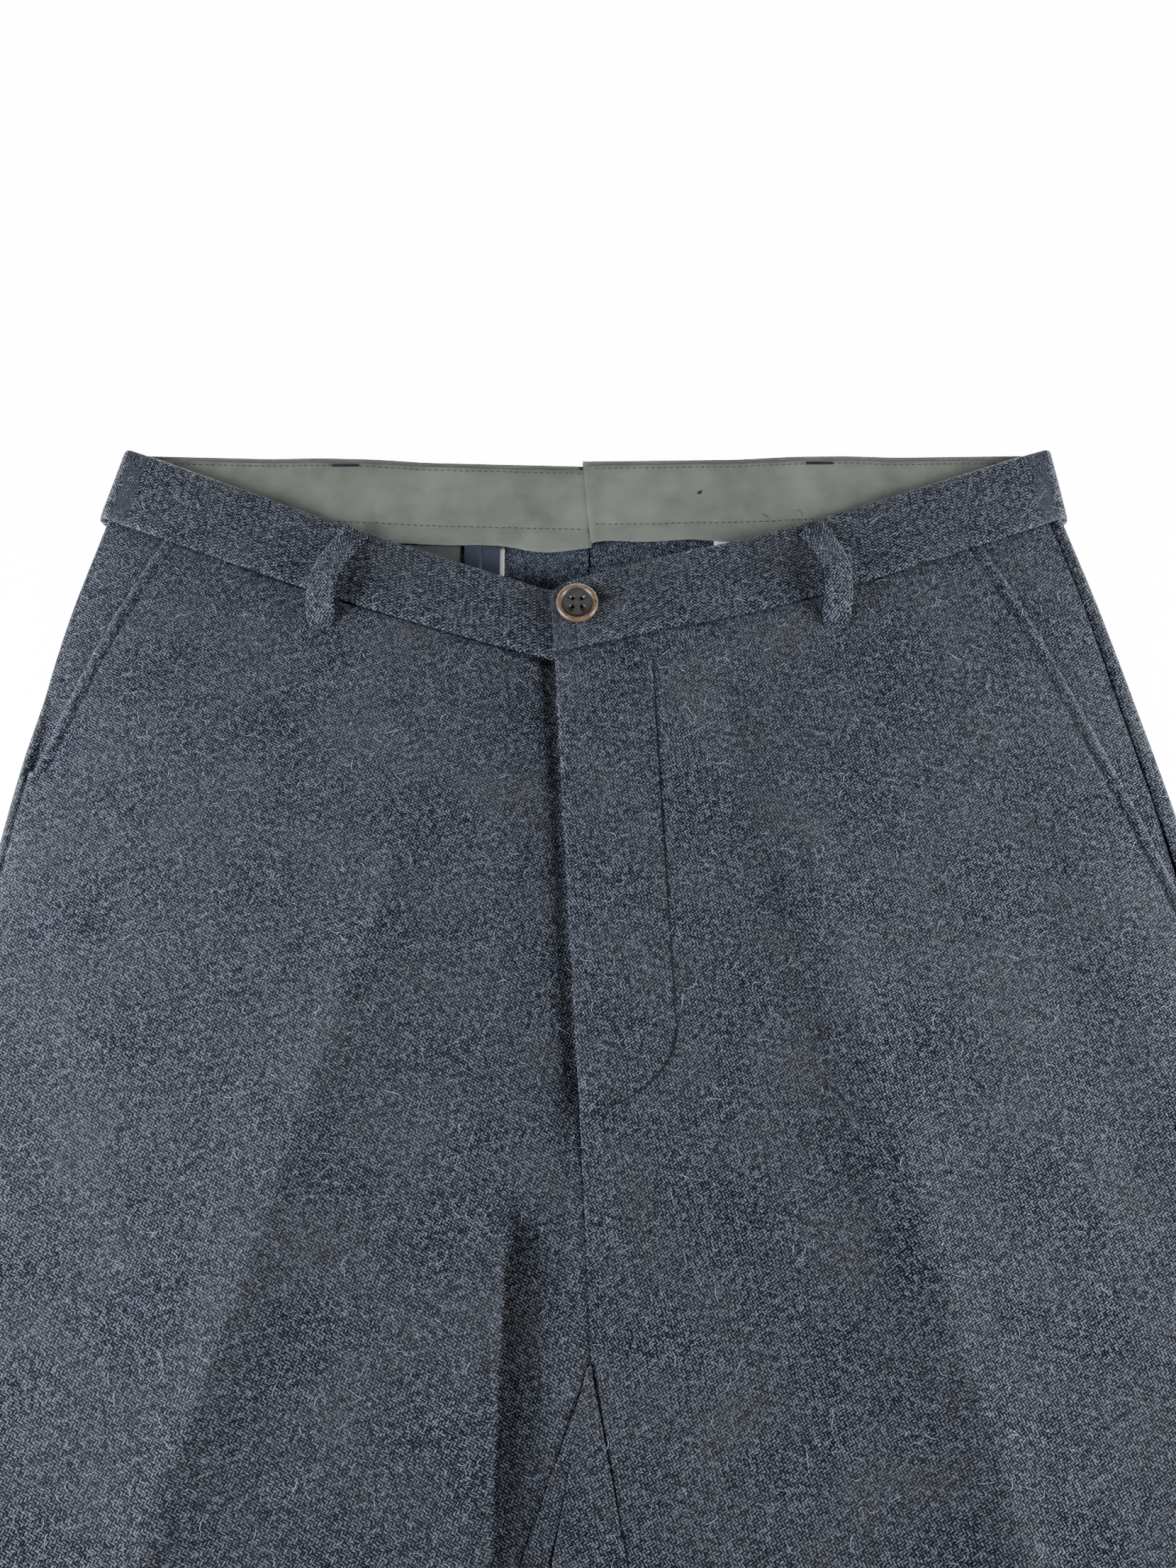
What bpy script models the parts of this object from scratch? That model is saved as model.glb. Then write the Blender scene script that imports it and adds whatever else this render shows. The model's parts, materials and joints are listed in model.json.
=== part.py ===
"""Wool trousers laid flat with the front up.

Lay-out coordinates are millimetres: X runs to the right from the centre seam, Y runs from the
crotch towards the waist, and Z runs up from the surface that the garment lies on. to_part() turns
them into metres, with the origin at the bottom centre of the whole garment.
"""
import math
from collections import namedtuple

import bmesh
import bpy
from mathutils import Vector

GARMENT = "wool_trousers"

# Cloth and gaps.
WOOL = 1.8               # napped wool cloth
BAND = 4.0               # waistband: two wool layers over canvas
LOOP = 1.8               # pressed belt loop
LINING = 1.0             # waistband curtain, pocketing and seam bindings
SEAM = 0.3               # between two pieces at a seam
CLEAR = 0.4              # between two layers that lie on each other

# The rolled edges, where the front turns into the back.
FOLD_R = 4.0
BAND_FOLD_R = 5.5
FOLD_RISE = 18.0         # distance over which the top climbs away from a fold
BAND_RISE = 25.0

# Heights and reference lines of the body.
BODY_TOP = 12.2          # upper surface of the front, away from the folds
BAND_TOP = 13.8          # upper surface of the front waistband
BAND_WIDTH = 35.0
SIDE_WAIST_Y = 347.0     # waist seam at the side
SIDE_TOP_Y = 383.0       # top of the waistband at the side
FRONT_TOP_Y = 309.7      # and at the centre front
BACK_SIDE_TOP_Y = 382.0  # and of the back, just behind the side fold
BACK_WAIST_X = 1.2       # centre back seam at the waist seam
BACK_TOP_X = -2.4        # and at the top of the waistband
CROTCH = (1.0, -4.0)     # where the four rise and inside-leg seams meet
FORK = (-14.0, -78.0)    # where the inner folds of the legs part
TIP_SHARE = 0.16         # the back's strip starts this far down from the crotch to the fork
CROTCH_T = 0.80          # share of the body's rows above the crotch
LEG_LENGTH = 694.0       # along the crease, from the fork's level to the hem
HEM_HALF = 104.0         # half the flat hem
LEG_TAPER = 1.15

# The fly: the wearer's left front laps over the right one.
FLY_WAIST_X = -14.0
FLY_TOP_X = -16.8        # the same edge at the top of the waistband
FLY_END = (-3.0, 84.0)   # lower end of the opening
FLY_LAP = 10.0           # how far the under front runs below the upper one
FLY_LAP_END_Y = (98.0, 128.0)
FLY_LIFT = 2.4           # the upper front rides this much higher
FLY_WAIST_LIFT = 1.7     # and this much more beside the waistband
FLY_LIFT_X = (45.0, 95.0)
FLY_LIFT_Y = (50.0, 96.0)
BAND_LIFT = BAND + CLEAR  # the waistband's upper end over its lower end
BAND_UNDERLAP = 40.0     # length of the hidden button end

POCKET_UNDER = 25.0      # how far the pocket facing runs below the front's edge
POCKET_FADE = 35.0
POCKET_SINK = 1.1        # the facing lies this much below the front's own surface
POCKET_SLACK = 0.7       # and this much deeper again at its far edge
SEAM_SLOPE = 0.25        # slope of the front beside the side seam
FOLDED_SINK = 1.3        # where it rolls round the side fold it sinks no further than this

# What sets one half apart from the other. strip is the back's width beyond the inside seam at the
# fork, seam_waist and seam_thigh place the side seam from the fold (under it where negative), and
# pocket_waist and pocket_run place the slanted pocket edge along the rows.
# sag and top_sag bow the waist seam and the waistband's top.
Half = namedtuple("Half", "name sign lean inner outer strip seam_waist seam_thigh "
                          "pocket_waist pocket_run pocket_t sag top_sag band_top_x band_low_x "
                          "front_waist_y back_waist_y curtain_drop")
LEFT = Half("left", -1, 17.0, 137.9, 139.2, 12.0, -6.0, -12.0, 31.0, 70.7, 0.34, 0.05, 0.035,
            209.5, 217.4, 276.0, 341.3, 40.5)
RIGHT = Half("right", 1, 14.0, 162.4, 147.3, 29.0, 5.5, 12.5, 40.5, 59.8, 0.51, 0.08, 0.045,
             209.3, 213.6, 278.4, 344.0, 38.5)
HALVES = (LEFT, RIGHT)
STRIP_HEM = 7.0          # the same strip, and the side seam, at the hem

# Silhouette of each side between the waist and the thigh.
SidePoint = namedtuple("SidePoint", "y half_width")
SIDE_LINES = {
    "left": [SidePoint(347.0, 215.3), SidePoint(295.7, 227.5), SidePoint(240.0, 236.5),
             SidePoint(214.7, 240.4), SidePoint(120.0, 253.5)],
    "right": [SidePoint(347.0, 211.5), SidePoint(305.0, 222.7), SidePoint(254.0, 234.4),
              SidePoint(214.7, 243.0), SidePoint(120.0, 262.5)],
}

# The front creases: in line with the leg, up to where they bend towards the fly near the waist.
Crease = namedtuple("Crease", "bend_y bend height reach top_y full_y")
CREASES = {
    "left": Crease(225.0, 0.0, 5.0, 22.0, 245.0, 135.0),
    "right": Crease(225.0, 0.003, 6.5, 22.0, 275.0, 155.0),
}
CREASE_ROUND = 1.5

# Soft folds and hollows of the front: a segment, its half width and its height.
Fold = namedtuple("Fold", "name x0 y0 x1 y1 half_width height fade")
FOLDS = [
    Fold("left_hollow", -32, 62, -33, -78, 10, -4.5, 24),
    Fold("left_inner_ridge", -15, 40, -17, -45, 8, 1.2, 24),
    Fold("right_dimple", 19, 75, 32, 30, 9, -2.5, 18),
    Fold("right_outer_trough", 175, 196, 217, 40, 16, -2.3, 30),
    Fold("left_outer_trough", -228, 156, -206, 71, 14, -1.5, 26),
    Fold("left_of_fly", -30, 262, -18, 95, 12, -1.5, 36),
]

# Belt loops: the upper end, the control point and the lower end of each curved centre line.
LoopLine = namedtuple("LoopLine", "name x0 y0 x1 y1 x2 y2")
FRONT_LOOPS = [
    LoopLine("belt_loop_front_left", -101.0, 337.0, -117.5, 310.0, -114.0, 291.5),
    LoopLine("belt_loop_front_right", 97.5, 338.5, 111.6, 315.0, 105.3, 291.5),
]
BACK_LOOPS = [
    LoopLine("belt_loop_back_left", -109.0, 374.5, -108.6, 350.0, -108.2, 327.5),
    LoopLine("belt_loop_back_right", 104.2, 376.5, 104.0, 352.0, 103.8, 329.5),
]
LOOP_WIDTH = 12.3
LOOP_BOW = 6.8           # clear height below the middle of a front loop
BACK_RAISE = LOOP + SEAM
RAISE_FADE = 32.0

# The button: a turned disc with a rolled rim and four holes.
BUTTON_X, BUTTON_Y = -4.6, 299.5
BUTTON_R = 9.0
BUTTON_FACE_R = 7.0
BUTTON_THICK = 3.4
BUTTON_DISH = 1.0
BUTTON_HOLE_R = 0.85
BUTTON_HOLE_PITCH = 3.6

# What shows inside the back.
CURTAIN_SIDE_X = 196.0
CURTAIN_TOP_GAP = 3.0    # wool that shows above it
SLIP = 0.3               # the small gap below a layer that lies inside

BELOW_LOOPS_T = 0.05     # the first row below the belt loops' lower ends
BODY_ROWS_TO_POCKET = 6
BODY_ROWS_TO_CROTCH = 5
BODY_ROWS_TO_FORK = 3
LEG_ROWS = (0.04, 0.12, 0.24, 0.38, 0.54, 0.70, 0.85, 1.0)
FRONT_OUTER = (0.0, 0.03, 0.15, 0.32, 0.51, 0.70, 0.84, 0.94, 1.0)
FRONT_INNER = (0.05, 0.15, 0.29, 0.43, 0.56, 0.68, 0.79, 0.89, 0.97, 1.0)
BACK_FLAT = (0.19, 0.32, 0.455, 0.55, 0.70, 0.85)
ARC_STEPS = 3
EDGE_STEP = 0.8          # between the first columns inside a cut edge
FOLD_STRIP = 7.0         # how much wider the rolled strip is down the leg, on top
FOLD_END_GAP = 0.8       # from a fold's slanted end face to the flat back beside it

# On this half the strips that roll round the two folds of the leg are solids of their own, so that
# collision stays open inside the leg.
FOLDS_APART = LEFT


def lerp(a, b, t):
    return a + (b - a) * t


def lerp2(p, q, t):
    return (lerp(p[0], q[0], t), lerp(p[1], q[1], t))


def smooth(value, low, high):
    """0 below low, 1 above high, with a soft step between."""
    t = min(1.0, max(0.0, (value - low) / (high - low)))
    return t * t * (3.0 - 2.0 * t)


def along(point, direction, distance):
    return (point[0] + direction[0] * distance, point[1] + direction[1] * distance)


def unit(p, q):
    """Unit vector from p to q, and their distance."""
    dx, dy = q[0] - p[0], q[1] - p[1]
    length = math.hypot(dx, dy)
    return (dx / length, dy / length), length


def side_x(half, y):
    """Silhouette above the fork, a smooth curve through the half's table and the thigh's edge."""
    thigh = along(fork_crease(half), outward(half), half.outer)
    rows = SIDE_LINES[half.name] + [SidePoint(thigh[1], abs(thigh[0]))]
    index = 0
    while index < len(rows) - 2 and y < rows[index + 1].y:
        index += 1

    def slope(i):
        low, high = max(0, i - 1), min(len(rows) - 1, i + 1)
        return (rows[high].half_width - rows[low].half_width) / (rows[high].y - rows[low].y)

    a, b = rows[index], rows[index + 1]
    step = b.y - a.y
    t = (y - a.y) / step
    width = ((1 + 2 * t) * (1 - t) ** 2 * a.half_width + t * (1 - t) ** 2 * step * slope(index)
             + t * t * (3 - 2 * t) * b.half_width - t * t * (1 - t) * step * slope(index + 1))
    return half.sign * width


def fly_x(y):
    """Edge of the upper front down the fly, and the centre seam below it."""
    if y > FLY_END[1]:
        run = RIGHT.front_waist_y - FLY_END[1]
        return lerp(FLY_END[0], FLY_WAIST_X, (y - FLY_END[1]) / run)
    return lerp(CROTCH[0], FLY_END[0], (y - CROTCH[1]) / (FLY_END[1] - CROTCH[1]))


def back_x(y):
    """Centre back seam on the underside."""
    return lerp(FORK[0], BACK_WAIST_X, (y - FORK[1]) / (SIDE_WAIST_Y - FORK[1]))


def outward(half):
    """Direction across a leg, towards its outer fold."""
    lean = math.radians(half.lean)
    return (half.sign * math.cos(lean), math.sin(lean))


def downward(half):
    lean = math.radians(half.lean)
    return (half.sign * math.sin(lean), -math.cos(lean))


def own_side(half, point):
    """A point of the line where the halves meet, moved to this half's side of the seam."""
    return (point[0] + half.sign * SEAM, point[1])


def fork_crease(half):
    """The crease at the fork's level."""
    return along(own_side(half, FORK), outward(half), half.inner)


def crease_x(half, y):
    x, low = fork_crease(half)
    bend = CREASES[half.name].bend * max(0.0, y - CREASES[half.name].bend_y) ** 2
    return x - half.sign * (math.tan(math.radians(half.lean)) * (y - low) + bend)


def leg_half_width(start, s):
    return HEM_HALF + (start - HEM_HALF) * (1.0 - s) ** LEG_TAPER


def fold_relief(x, y):
    """Soft folds and hollows of the front."""
    total = 0.0
    for fold in FOLDS:
        (dx, dy), length = unit((fold.x0, fold.y0), (fold.x1, fold.y1))
        run = (x - fold.x0) * dx + (y - fold.y0) * dy
        off = (x - fold.x0) * dy - (y - fold.y0) * dx
        beyond = max(0.0, -run, run - length)
        total += fold.height * math.exp(-(off / fold.half_width) ** 2 - (beyond / fold.fade) ** 2)
    return total


def crease_relief(half, x, y):
    """The pressed ridge along the front of a leg."""
    crease = CREASES[half.name]
    lean = math.cos(math.radians(half.lean))
    off = math.hypot((x - crease_x(half, y)) * lean, CREASE_ROUND) - CREASE_ROUND
    strength = 1.0 - smooth(y, crease.full_y, crease.top_y)
    return crease.height * strength * math.exp(-off / crease.reach)


def fly_lift(half, x, y):
    """The upper front rides on the under front and on its own facing."""
    if half is LEFT:
        return 0.0
    rise = FLY_LIFT + FLY_WAIST_LIFT * smooth(y, 200.0, 270.0)
    return rise * (1.0 - smooth(x - fly_x(y), *FLY_LIFT_X)) * smooth(y, *FLY_LIFT_Y)


def front_height(half, x, y, from_fold=1e3, from_inner=1e3, blend=0.0):
    """Upper surface of the front: a low pillow between the folds, with its creases and folds."""
    outer = 1.0 - math.exp(-max(0.0, from_fold - FOLD_R) / FOLD_RISE)
    inner = 1.0 - blend * math.exp(-max(0.0, from_inner - FOLD_R) / FOLD_RISE)
    relief = fold_relief(x, y) + crease_relief(half, x, y)
    base = 2 * FOLD_R + (BODY_TOP - 2 * FOLD_R) * outer * inner
    return base + relief * outer ** 2 * inner ** 2 + fly_lift(half, x, y)


def back_raise(x, y, fade=RAISE_FADE):
    """The back lies this much off the floor, over the belt loops beneath it."""
    total = 0.0
    for loop in BACK_LOOPS:
        dx = max(0.0, abs(x - loop.x1) - LOOP_WIDTH / 2 - 1.5)
        dy = max(0.0, loop.y2 - 3.0 - y)
        total += BACK_RAISE * (1.0 - smooth(math.hypot(dx, dy), 0.0, fade))
    return total


# One row of the garment, from the outer fold to the middle: origin on the fold, direction and
# length on top, direction and length on the underside, and how far the inner fold has formed.
Row = namedtuple("Row", "half t leg outer top_dir top_len low_dir low_len blend strip tip "
                        "seam pocket crease")


def body_row(half, t):
    """A row above the fork's level. t is 0 at the waist seam and 1 at the fork."""
    out = outward(half)
    fork_outer = along(fork_crease(half), out, half.outer)
    y_side = lerp(SIDE_WAIST_Y, fork_outer[1], t)
    outer = (side_x(half, y_side), y_side)
    crotch, fork = own_side(half, CROTCH), own_side(half, FORK)
    seam_fork = along(fork, out, half.strip)
    if t <= CROTCH_T:
        y = lerp(half.front_waist_y, CROTCH[1], t / CROTCH_T)
        inner, blend, tip = (fly_x(y), y), 0.0, None
    else:
        share = (t - CROTCH_T) / (1.0 - CROTCH_T)
        inner = lerp2(crotch, seam_fork, share)
        blend, tip = share ** 1.2, lerp2(crotch, fork, share)
    y_back = lerp(half.back_waist_y, FORK[1], t)
    top_dir, top_len = unit(outer, inner)
    low_dir, low_len = unit(outer, own_side(half, (back_x(y_back), y_back)))
    low, high = 0.0, 1.0
    for _ in range(30):
        mid = (low + high) / 2
        x, y = along(outer, top_dir, top_len * mid)
        low, high = (mid, high) if abs(x) > abs(crease_x(half, y)) else (low, mid)
    return Row(half, t, False, outer, top_dir, top_len, low_dir, low_len, blend,
               half.strip, tip, lerp(half.seam_waist, half.seam_thigh, t),
               half.pocket_waist - half.pocket_run * t, top_len * low)


def leg_row(half, s):
    """A row across a leg. s is 0 at the fork and 1 at the hem."""
    out = outward(half)
    middle = along(fork_crease(half), downward(half), LEG_LENGTH * s)
    outer_half = leg_half_width(half.outer, s)
    inner_half = leg_half_width(half.inner, s)
    outer = along(middle, out, outer_half)
    direction = (-out[0], -out[1])
    length = outer_half + inner_half
    strip = lerp(half.strip, STRIP_HEM, s)
    hem_seam = math.copysign(STRIP_HEM, half.seam_thigh)
    return Row(half, 1.0 + s, True, outer, direction, length, direction, length, 1.0, strip, None,
               lerp(half.seam_thigh, hem_seam, s), 0.0, outer_half)


def steps(low, high, count):
    return [lerp(low, high, (i + 1) / count) for i in range(count)]


def half_rows(half):
    """Every row of one half, and the indices of the pocket's end, the crotch and the fork."""
    stations = [0.0, BELOW_LOOPS_T] + steps(BELOW_LOOPS_T, half.pocket_t, BODY_ROWS_TO_POCKET)
    pocket = len(stations) - 1
    stations += steps(half.pocket_t, CROTCH_T, BODY_ROWS_TO_CROTCH)
    crotch = len(stations) - 1
    stations += steps(CROTCH_T, 1.0, BODY_ROWS_TO_FORK)
    fork = len(stations) - 1
    rows = [body_row(half, t) for t in stations] + [leg_row(half, s) for s in LEG_ROWS]
    return rows, pocket, crotch, fork


def waist_sag(row, distance):
    """The waist seam of the front bows down a little between the side and the fly."""
    if row.leg or row.t > 0.25:
        return 0.0
    share = min(1.0, max(0.0, distance / row.top_len))
    drop = SIDE_WAIST_Y - row.half.front_waist_y
    return row.half.sag * drop * math.sin(math.pi * share) * (1.0 - row.t / 0.25) ** 2


def top_point(row, distance, sink=0.0, lift=0.0):
    """A point of the upper surface, distance along the row from the outer silhouette."""
    x, y = along(row.outer, row.top_dir, distance)
    y -= waist_sag(row, distance)
    from_inner = 1e3
    if row.leg:
        from_inner = row.top_len - distance
    elif row.blend:
        width = math.dist(along(row.outer, row.top_dir, row.top_len), row.tip)
        from_inner = max(0.0, row.top_len - distance) + width
    z = front_height(row.half, x, y, distance, from_inner, row.blend)
    return (x, y, z - sink + lift)


def arc_point(row, angle, sink=0.0):
    """A point of the outer fold: 0 at the silhouette, 90 on top and -90 on the underside."""
    direction = row.top_dir if angle > 0 else row.low_dir
    inset = FOLD_R - (FOLD_R - sink) * math.cos(math.radians(angle))
    x, y = along(row.outer, direction, inset)
    return (x, y, FOLD_R + (FOLD_R - sink) * math.sin(math.radians(angle)))


def low_point(row, distance, sink=0.0):
    """A point of the underside, distance along the row from the outer silhouette."""
    x, y = along(row.outer, row.low_dir, distance)
    return (x, y, back_raise(x, y) + sink)


def inner_point(row, angle):
    """A point of the inner fold of a leg, with the same angles as the outer one."""
    inset = FOLD_R * (1.0 - math.cos(math.radians(angle)))
    x, y = along(row.outer, row.low_dir, row.low_len - inset)
    return (x, y, FOLD_R * (1.0 + math.sin(math.radians(angle))))


def strip_point(row, from_edge, angle):
    """A point between the inside seam and the inner fold, where a strip of the back shows."""
    width = row.strip - SEAM / 2
    if row.leg or row.t == 1.0:
        if angle is not None:
            return inner_point(row, angle)
        inset = row.low_len - lerp(width, FOLD_R, from_edge)
        x, y = along(row.outer, row.low_dir, inset)
        z = front_height(row.half, x, y, inset, row.low_len - inset, 1.0)
        return (x, y, z)
    seam_end = along(row.outer, row.top_dir, row.top_len)
    (dx, dy), run = unit(seam_end, row.tip)
    start = along(seam_end, (dx, dy), SEAM / 2)
    run -= SEAM
    inset = FOLD_R * (1.0 - math.cos(math.radians(angle))) if angle is not None else \
        lerp(width, FOLD_R, from_edge)
    share = 1.0 - inset / width
    x, y = along(start, (dx, dy), run * share)
    z = front_height(row.half, x, y, 1e3, run * (1.0 - share), row.blend)
    drop = FOLD_R * (1.0 - math.sin(math.radians(angle))) if angle is not None else 0.0
    return (x, y, z - drop * row.blend)


def arc_angles(low, high):
    return [lerp(low, high, i / ARC_STEPS) for i in range(ARC_STEPS + 1)]


# Set by set_origin() once the outline is known.
ORIGIN = [0.0, 0.0]


def set_origin():
    """Put the part's origin at the bottom centre of the garment."""
    corners = [leg_row(half, 1.0) for half in HALVES]
    ends = [row.outer for row in corners]
    ends += [along(row.outer, row.low_dir, row.low_len) for row in corners]
    low_x = min(x for x, y in ends)
    high_x = max(x for x, y in ends)
    low_y = min(y for x, y in ends)
    ORIGIN[0] = (low_x + high_x) / 2
    ORIGIN[1] = (low_y + SIDE_TOP_Y) / 2


def to_part(point):
    return Vector((point[0] - ORIGIN[0], point[1] - ORIGIN[1], point[2])) / 1000.0


def clear_scene():
    for thing in list(bpy.data.objects):
        bpy.data.objects.remove(thing, do_unlink=True)


def new_collection(name):
    collection = bpy.data.collections.new(name)
    bpy.context.scene.collection.children.link(collection)
    return collection


def finish(name, colour, roughness, metallic=0.0):
    """A plain Principled material."""
    material = bpy.data.materials.new(name)
    material.use_nodes = True
    shader = material.node_tree.nodes["Principled BSDF"]
    shader.inputs["Base Color"].default_value = (*colour, 1.0)
    shader.inputs["Roughness"].default_value = roughness
    shader.inputs["Metallic"].default_value = metallic
    return material


WOOL_COLOUR = (0.045, 0.052, 0.068)
LINING_COLOUR = (0.145, 0.150, 0.125)


def sheet(name, collection, grids, points, thickness, material, flip=False):
    """One cloth piece: an open surface through the points, grown inwards to its thickness.

    Each grid is a list of rows of keys into points, from the waist down.
    """
    mesh = bpy.data.meshes.new(name)
    build = bmesh.new()
    used = {key for rows in grids for row in rows for key in row}
    verts = {key: build.verts.new(to_part(points[key])) for key in points if key in used}
    for rows in grids:
        for upper, lower in zip(rows, rows[1:]):
            for i in range(min(len(upper), len(lower)) - 1):
                corners = []
                for key in (upper[i], upper[i + 1], lower[i + 1], lower[i]):
                    if verts[key] not in corners:
                        corners.append(verts[key])
                if len(corners) > 2:
                    build.faces.new(corners[::-1] if flip else corners)
    build.to_mesh(mesh)
    build.free()
    mesh.materials.append(material)
    mesh.shade_smooth()
    piece = bpy.data.objects.new(name, mesh)
    collection.objects.link(piece)
    wall = piece.modifiers.new("cloth", "SOLIDIFY")
    wall.thickness = thickness / 1000.0
    wall.offset = -1.0
    wall.use_even_offset = False
    return piece


def pocket_lift(row, distance, end_t):
    """The front rides over the pocket facing beside the slanted edge."""
    if row.leg or row.t > end_t + 1e-6:
        return 0.0
    sink = facing_sink(row, end_t)
    beyond = distance - max(row.pocket, row.seam) - POCKET_UNDER - 2.0
    return (WOOL + CLEAR - sink) * (1.0 - smooth(beyond, 0.0, POCKET_FADE))


def facing_sink(row, end_t):
    """How far the facing lies below the front's own surface: all the way at the pocket's end."""
    return lerp(POCKET_SINK, WOOL + CLEAR, smooth(row.t, end_t - 0.13, end_t))


def top_seam(row):
    """Where the front's own outer edge runs on the upper surface, below the pocket.

    Where the side seam lies under the fold, this is the edge of the strip that rolls round it.
    """
    if row.seam > 0:
        return row.seam
    return FOLD_R + 1.0 + FOLD_STRIP * smooth(row.t, row.half.pocket_t, row.half.pocket_t + 0.12)


def front_inner_edge(row):
    """Distance along the row to the front's inner edge: the fly, centre seam or inside seam."""
    if row.leg:
        return row.top_len - row.strip - SEAM / 2
    y = along(row.outer, row.top_dir, row.top_len)[1]
    if row.half is LEFT and row.t < CROTCH_T:
        return row.top_len + lerp(-SEAM / 2, FLY_LAP, smooth(y, *FLY_LAP_END_Y))
    return row.top_len - SEAM / 2


def front_panel(half, collection, material):
    """A front, cut away above the slanted pocket edge.

    Where the side seam lies under the fold, the strip that rolls round it is a solid of its own.
    """
    rows, pocket, _, _ = half_rows(half)
    points, body, wrap = {}, [], []
    for k, row in enumerate(rows):
        edge = row.pocket if k <= pocket else top_seam(row) + SEAM / 2
        edge = max(edge, top_seam(row) + SEAM / 2)
        last = front_inner_edge(row)
        places = [lerp(edge, row.crease, share) for share in FRONT_OUTER]
        places += [lerp(row.crease, last, share) for share in FRONT_INNER]
        for j, distance in enumerate(places):
            lift = pocket_lift(row, distance, half.pocket_t)
            points[(k, j)] = top_point(row, distance, lift=lift)
        body.append([(k, j) for j in range(len(places))])
        if row.seam < 0 and k >= pocket:
            keys = []
            for i, angle in enumerate(arc_angles(-90, 0)[:-1] + arc_angles(0, 90)):
                points[(k, "arc", i)] = arc_point(row, angle)
                keys.append((k, "arc", i))
            points[(k, "under")] = low_point(row, -row.seam - SEAM / 2)
            fold_end = places[0] - SEAM
            points[(k, "fold middle")] = top_point(row, (FOLD_R + fold_end) / 2)
            points[(k, "fold end")] = top_point(row, fold_end)
            wrap.append([(k, "under")] + keys + [(k, "fold middle"), (k, "fold end")])
    body[0] = shift_row(points, body[0], -SEAM)
    if wrap:
        sheet(f"front_fold_{half.name}", collection, [wrap], points, WOOL, material,
              flip=half is LEFT)
    return sheet(f"front_panel_{half.name}", collection, [body], points, WOOL, material,
                 flip=half is LEFT)


def shift_row(points, keys, dy):
    """Move a row of points along Y, to open the gap at the waist seam."""
    for key in keys:
        x, y, z = points[key]
        points[key] = (x, y + dy, z)
    return keys


def pocket_facing(half, collection, material):
    """The piece below the slanted pocket edge, from the side seam to under the front."""
    rows, pocket, _, _ = half_rows(half)
    points, grid = {}, []
    for k, row in enumerate(rows[:pocket + 1]):
        if k == pocket:
            row = body_row(half, half.pocket_t - 0.0014)
        sink = facing_sink(row, half.pocket_t)
        rolled_sink = min(sink, FOLDED_SINK)
        edge = max(row.pocket, top_seam(row))
        keys = []

        def add(key, point):
            points[(k, key)] = point
            keys.append((k, key))

        if row.seam < 0:
            add("under", low_point(row, -row.seam - SEAM / 2, rolled_sink))
            for i, angle in enumerate(arc_angles(-90, 0)[:-1] + arc_angles(0, 90)):
                add(("arc", i), arc_point(row, angle, rolled_sink))
            start = FOLD_R + 1.5
        else:
            start = row.seam + SEAM / 2 + sink * SEAM_SLOPE
        stops = [start, start + 2.5, lerp(start, edge, 0.5) + 1.2, edge]
        stops += [edge + POCKET_UNDER * share for share in (0.33, 0.66, 1.0)]
        for i, distance in enumerate(sorted(stops)):
            deeper = POCKET_SLACK * max(0.0, distance - edge) / POCKET_UNDER
            add(("top", i), top_point(row, distance, sink=sink + deeper))
        grid.append(keys)
    shift_row(points, grid[0], -SEAM)
    return sheet(f"pocket_facing_{half.name}", collection, [grid], points, WOOL, material,
                 flip=half is LEFT)


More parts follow.
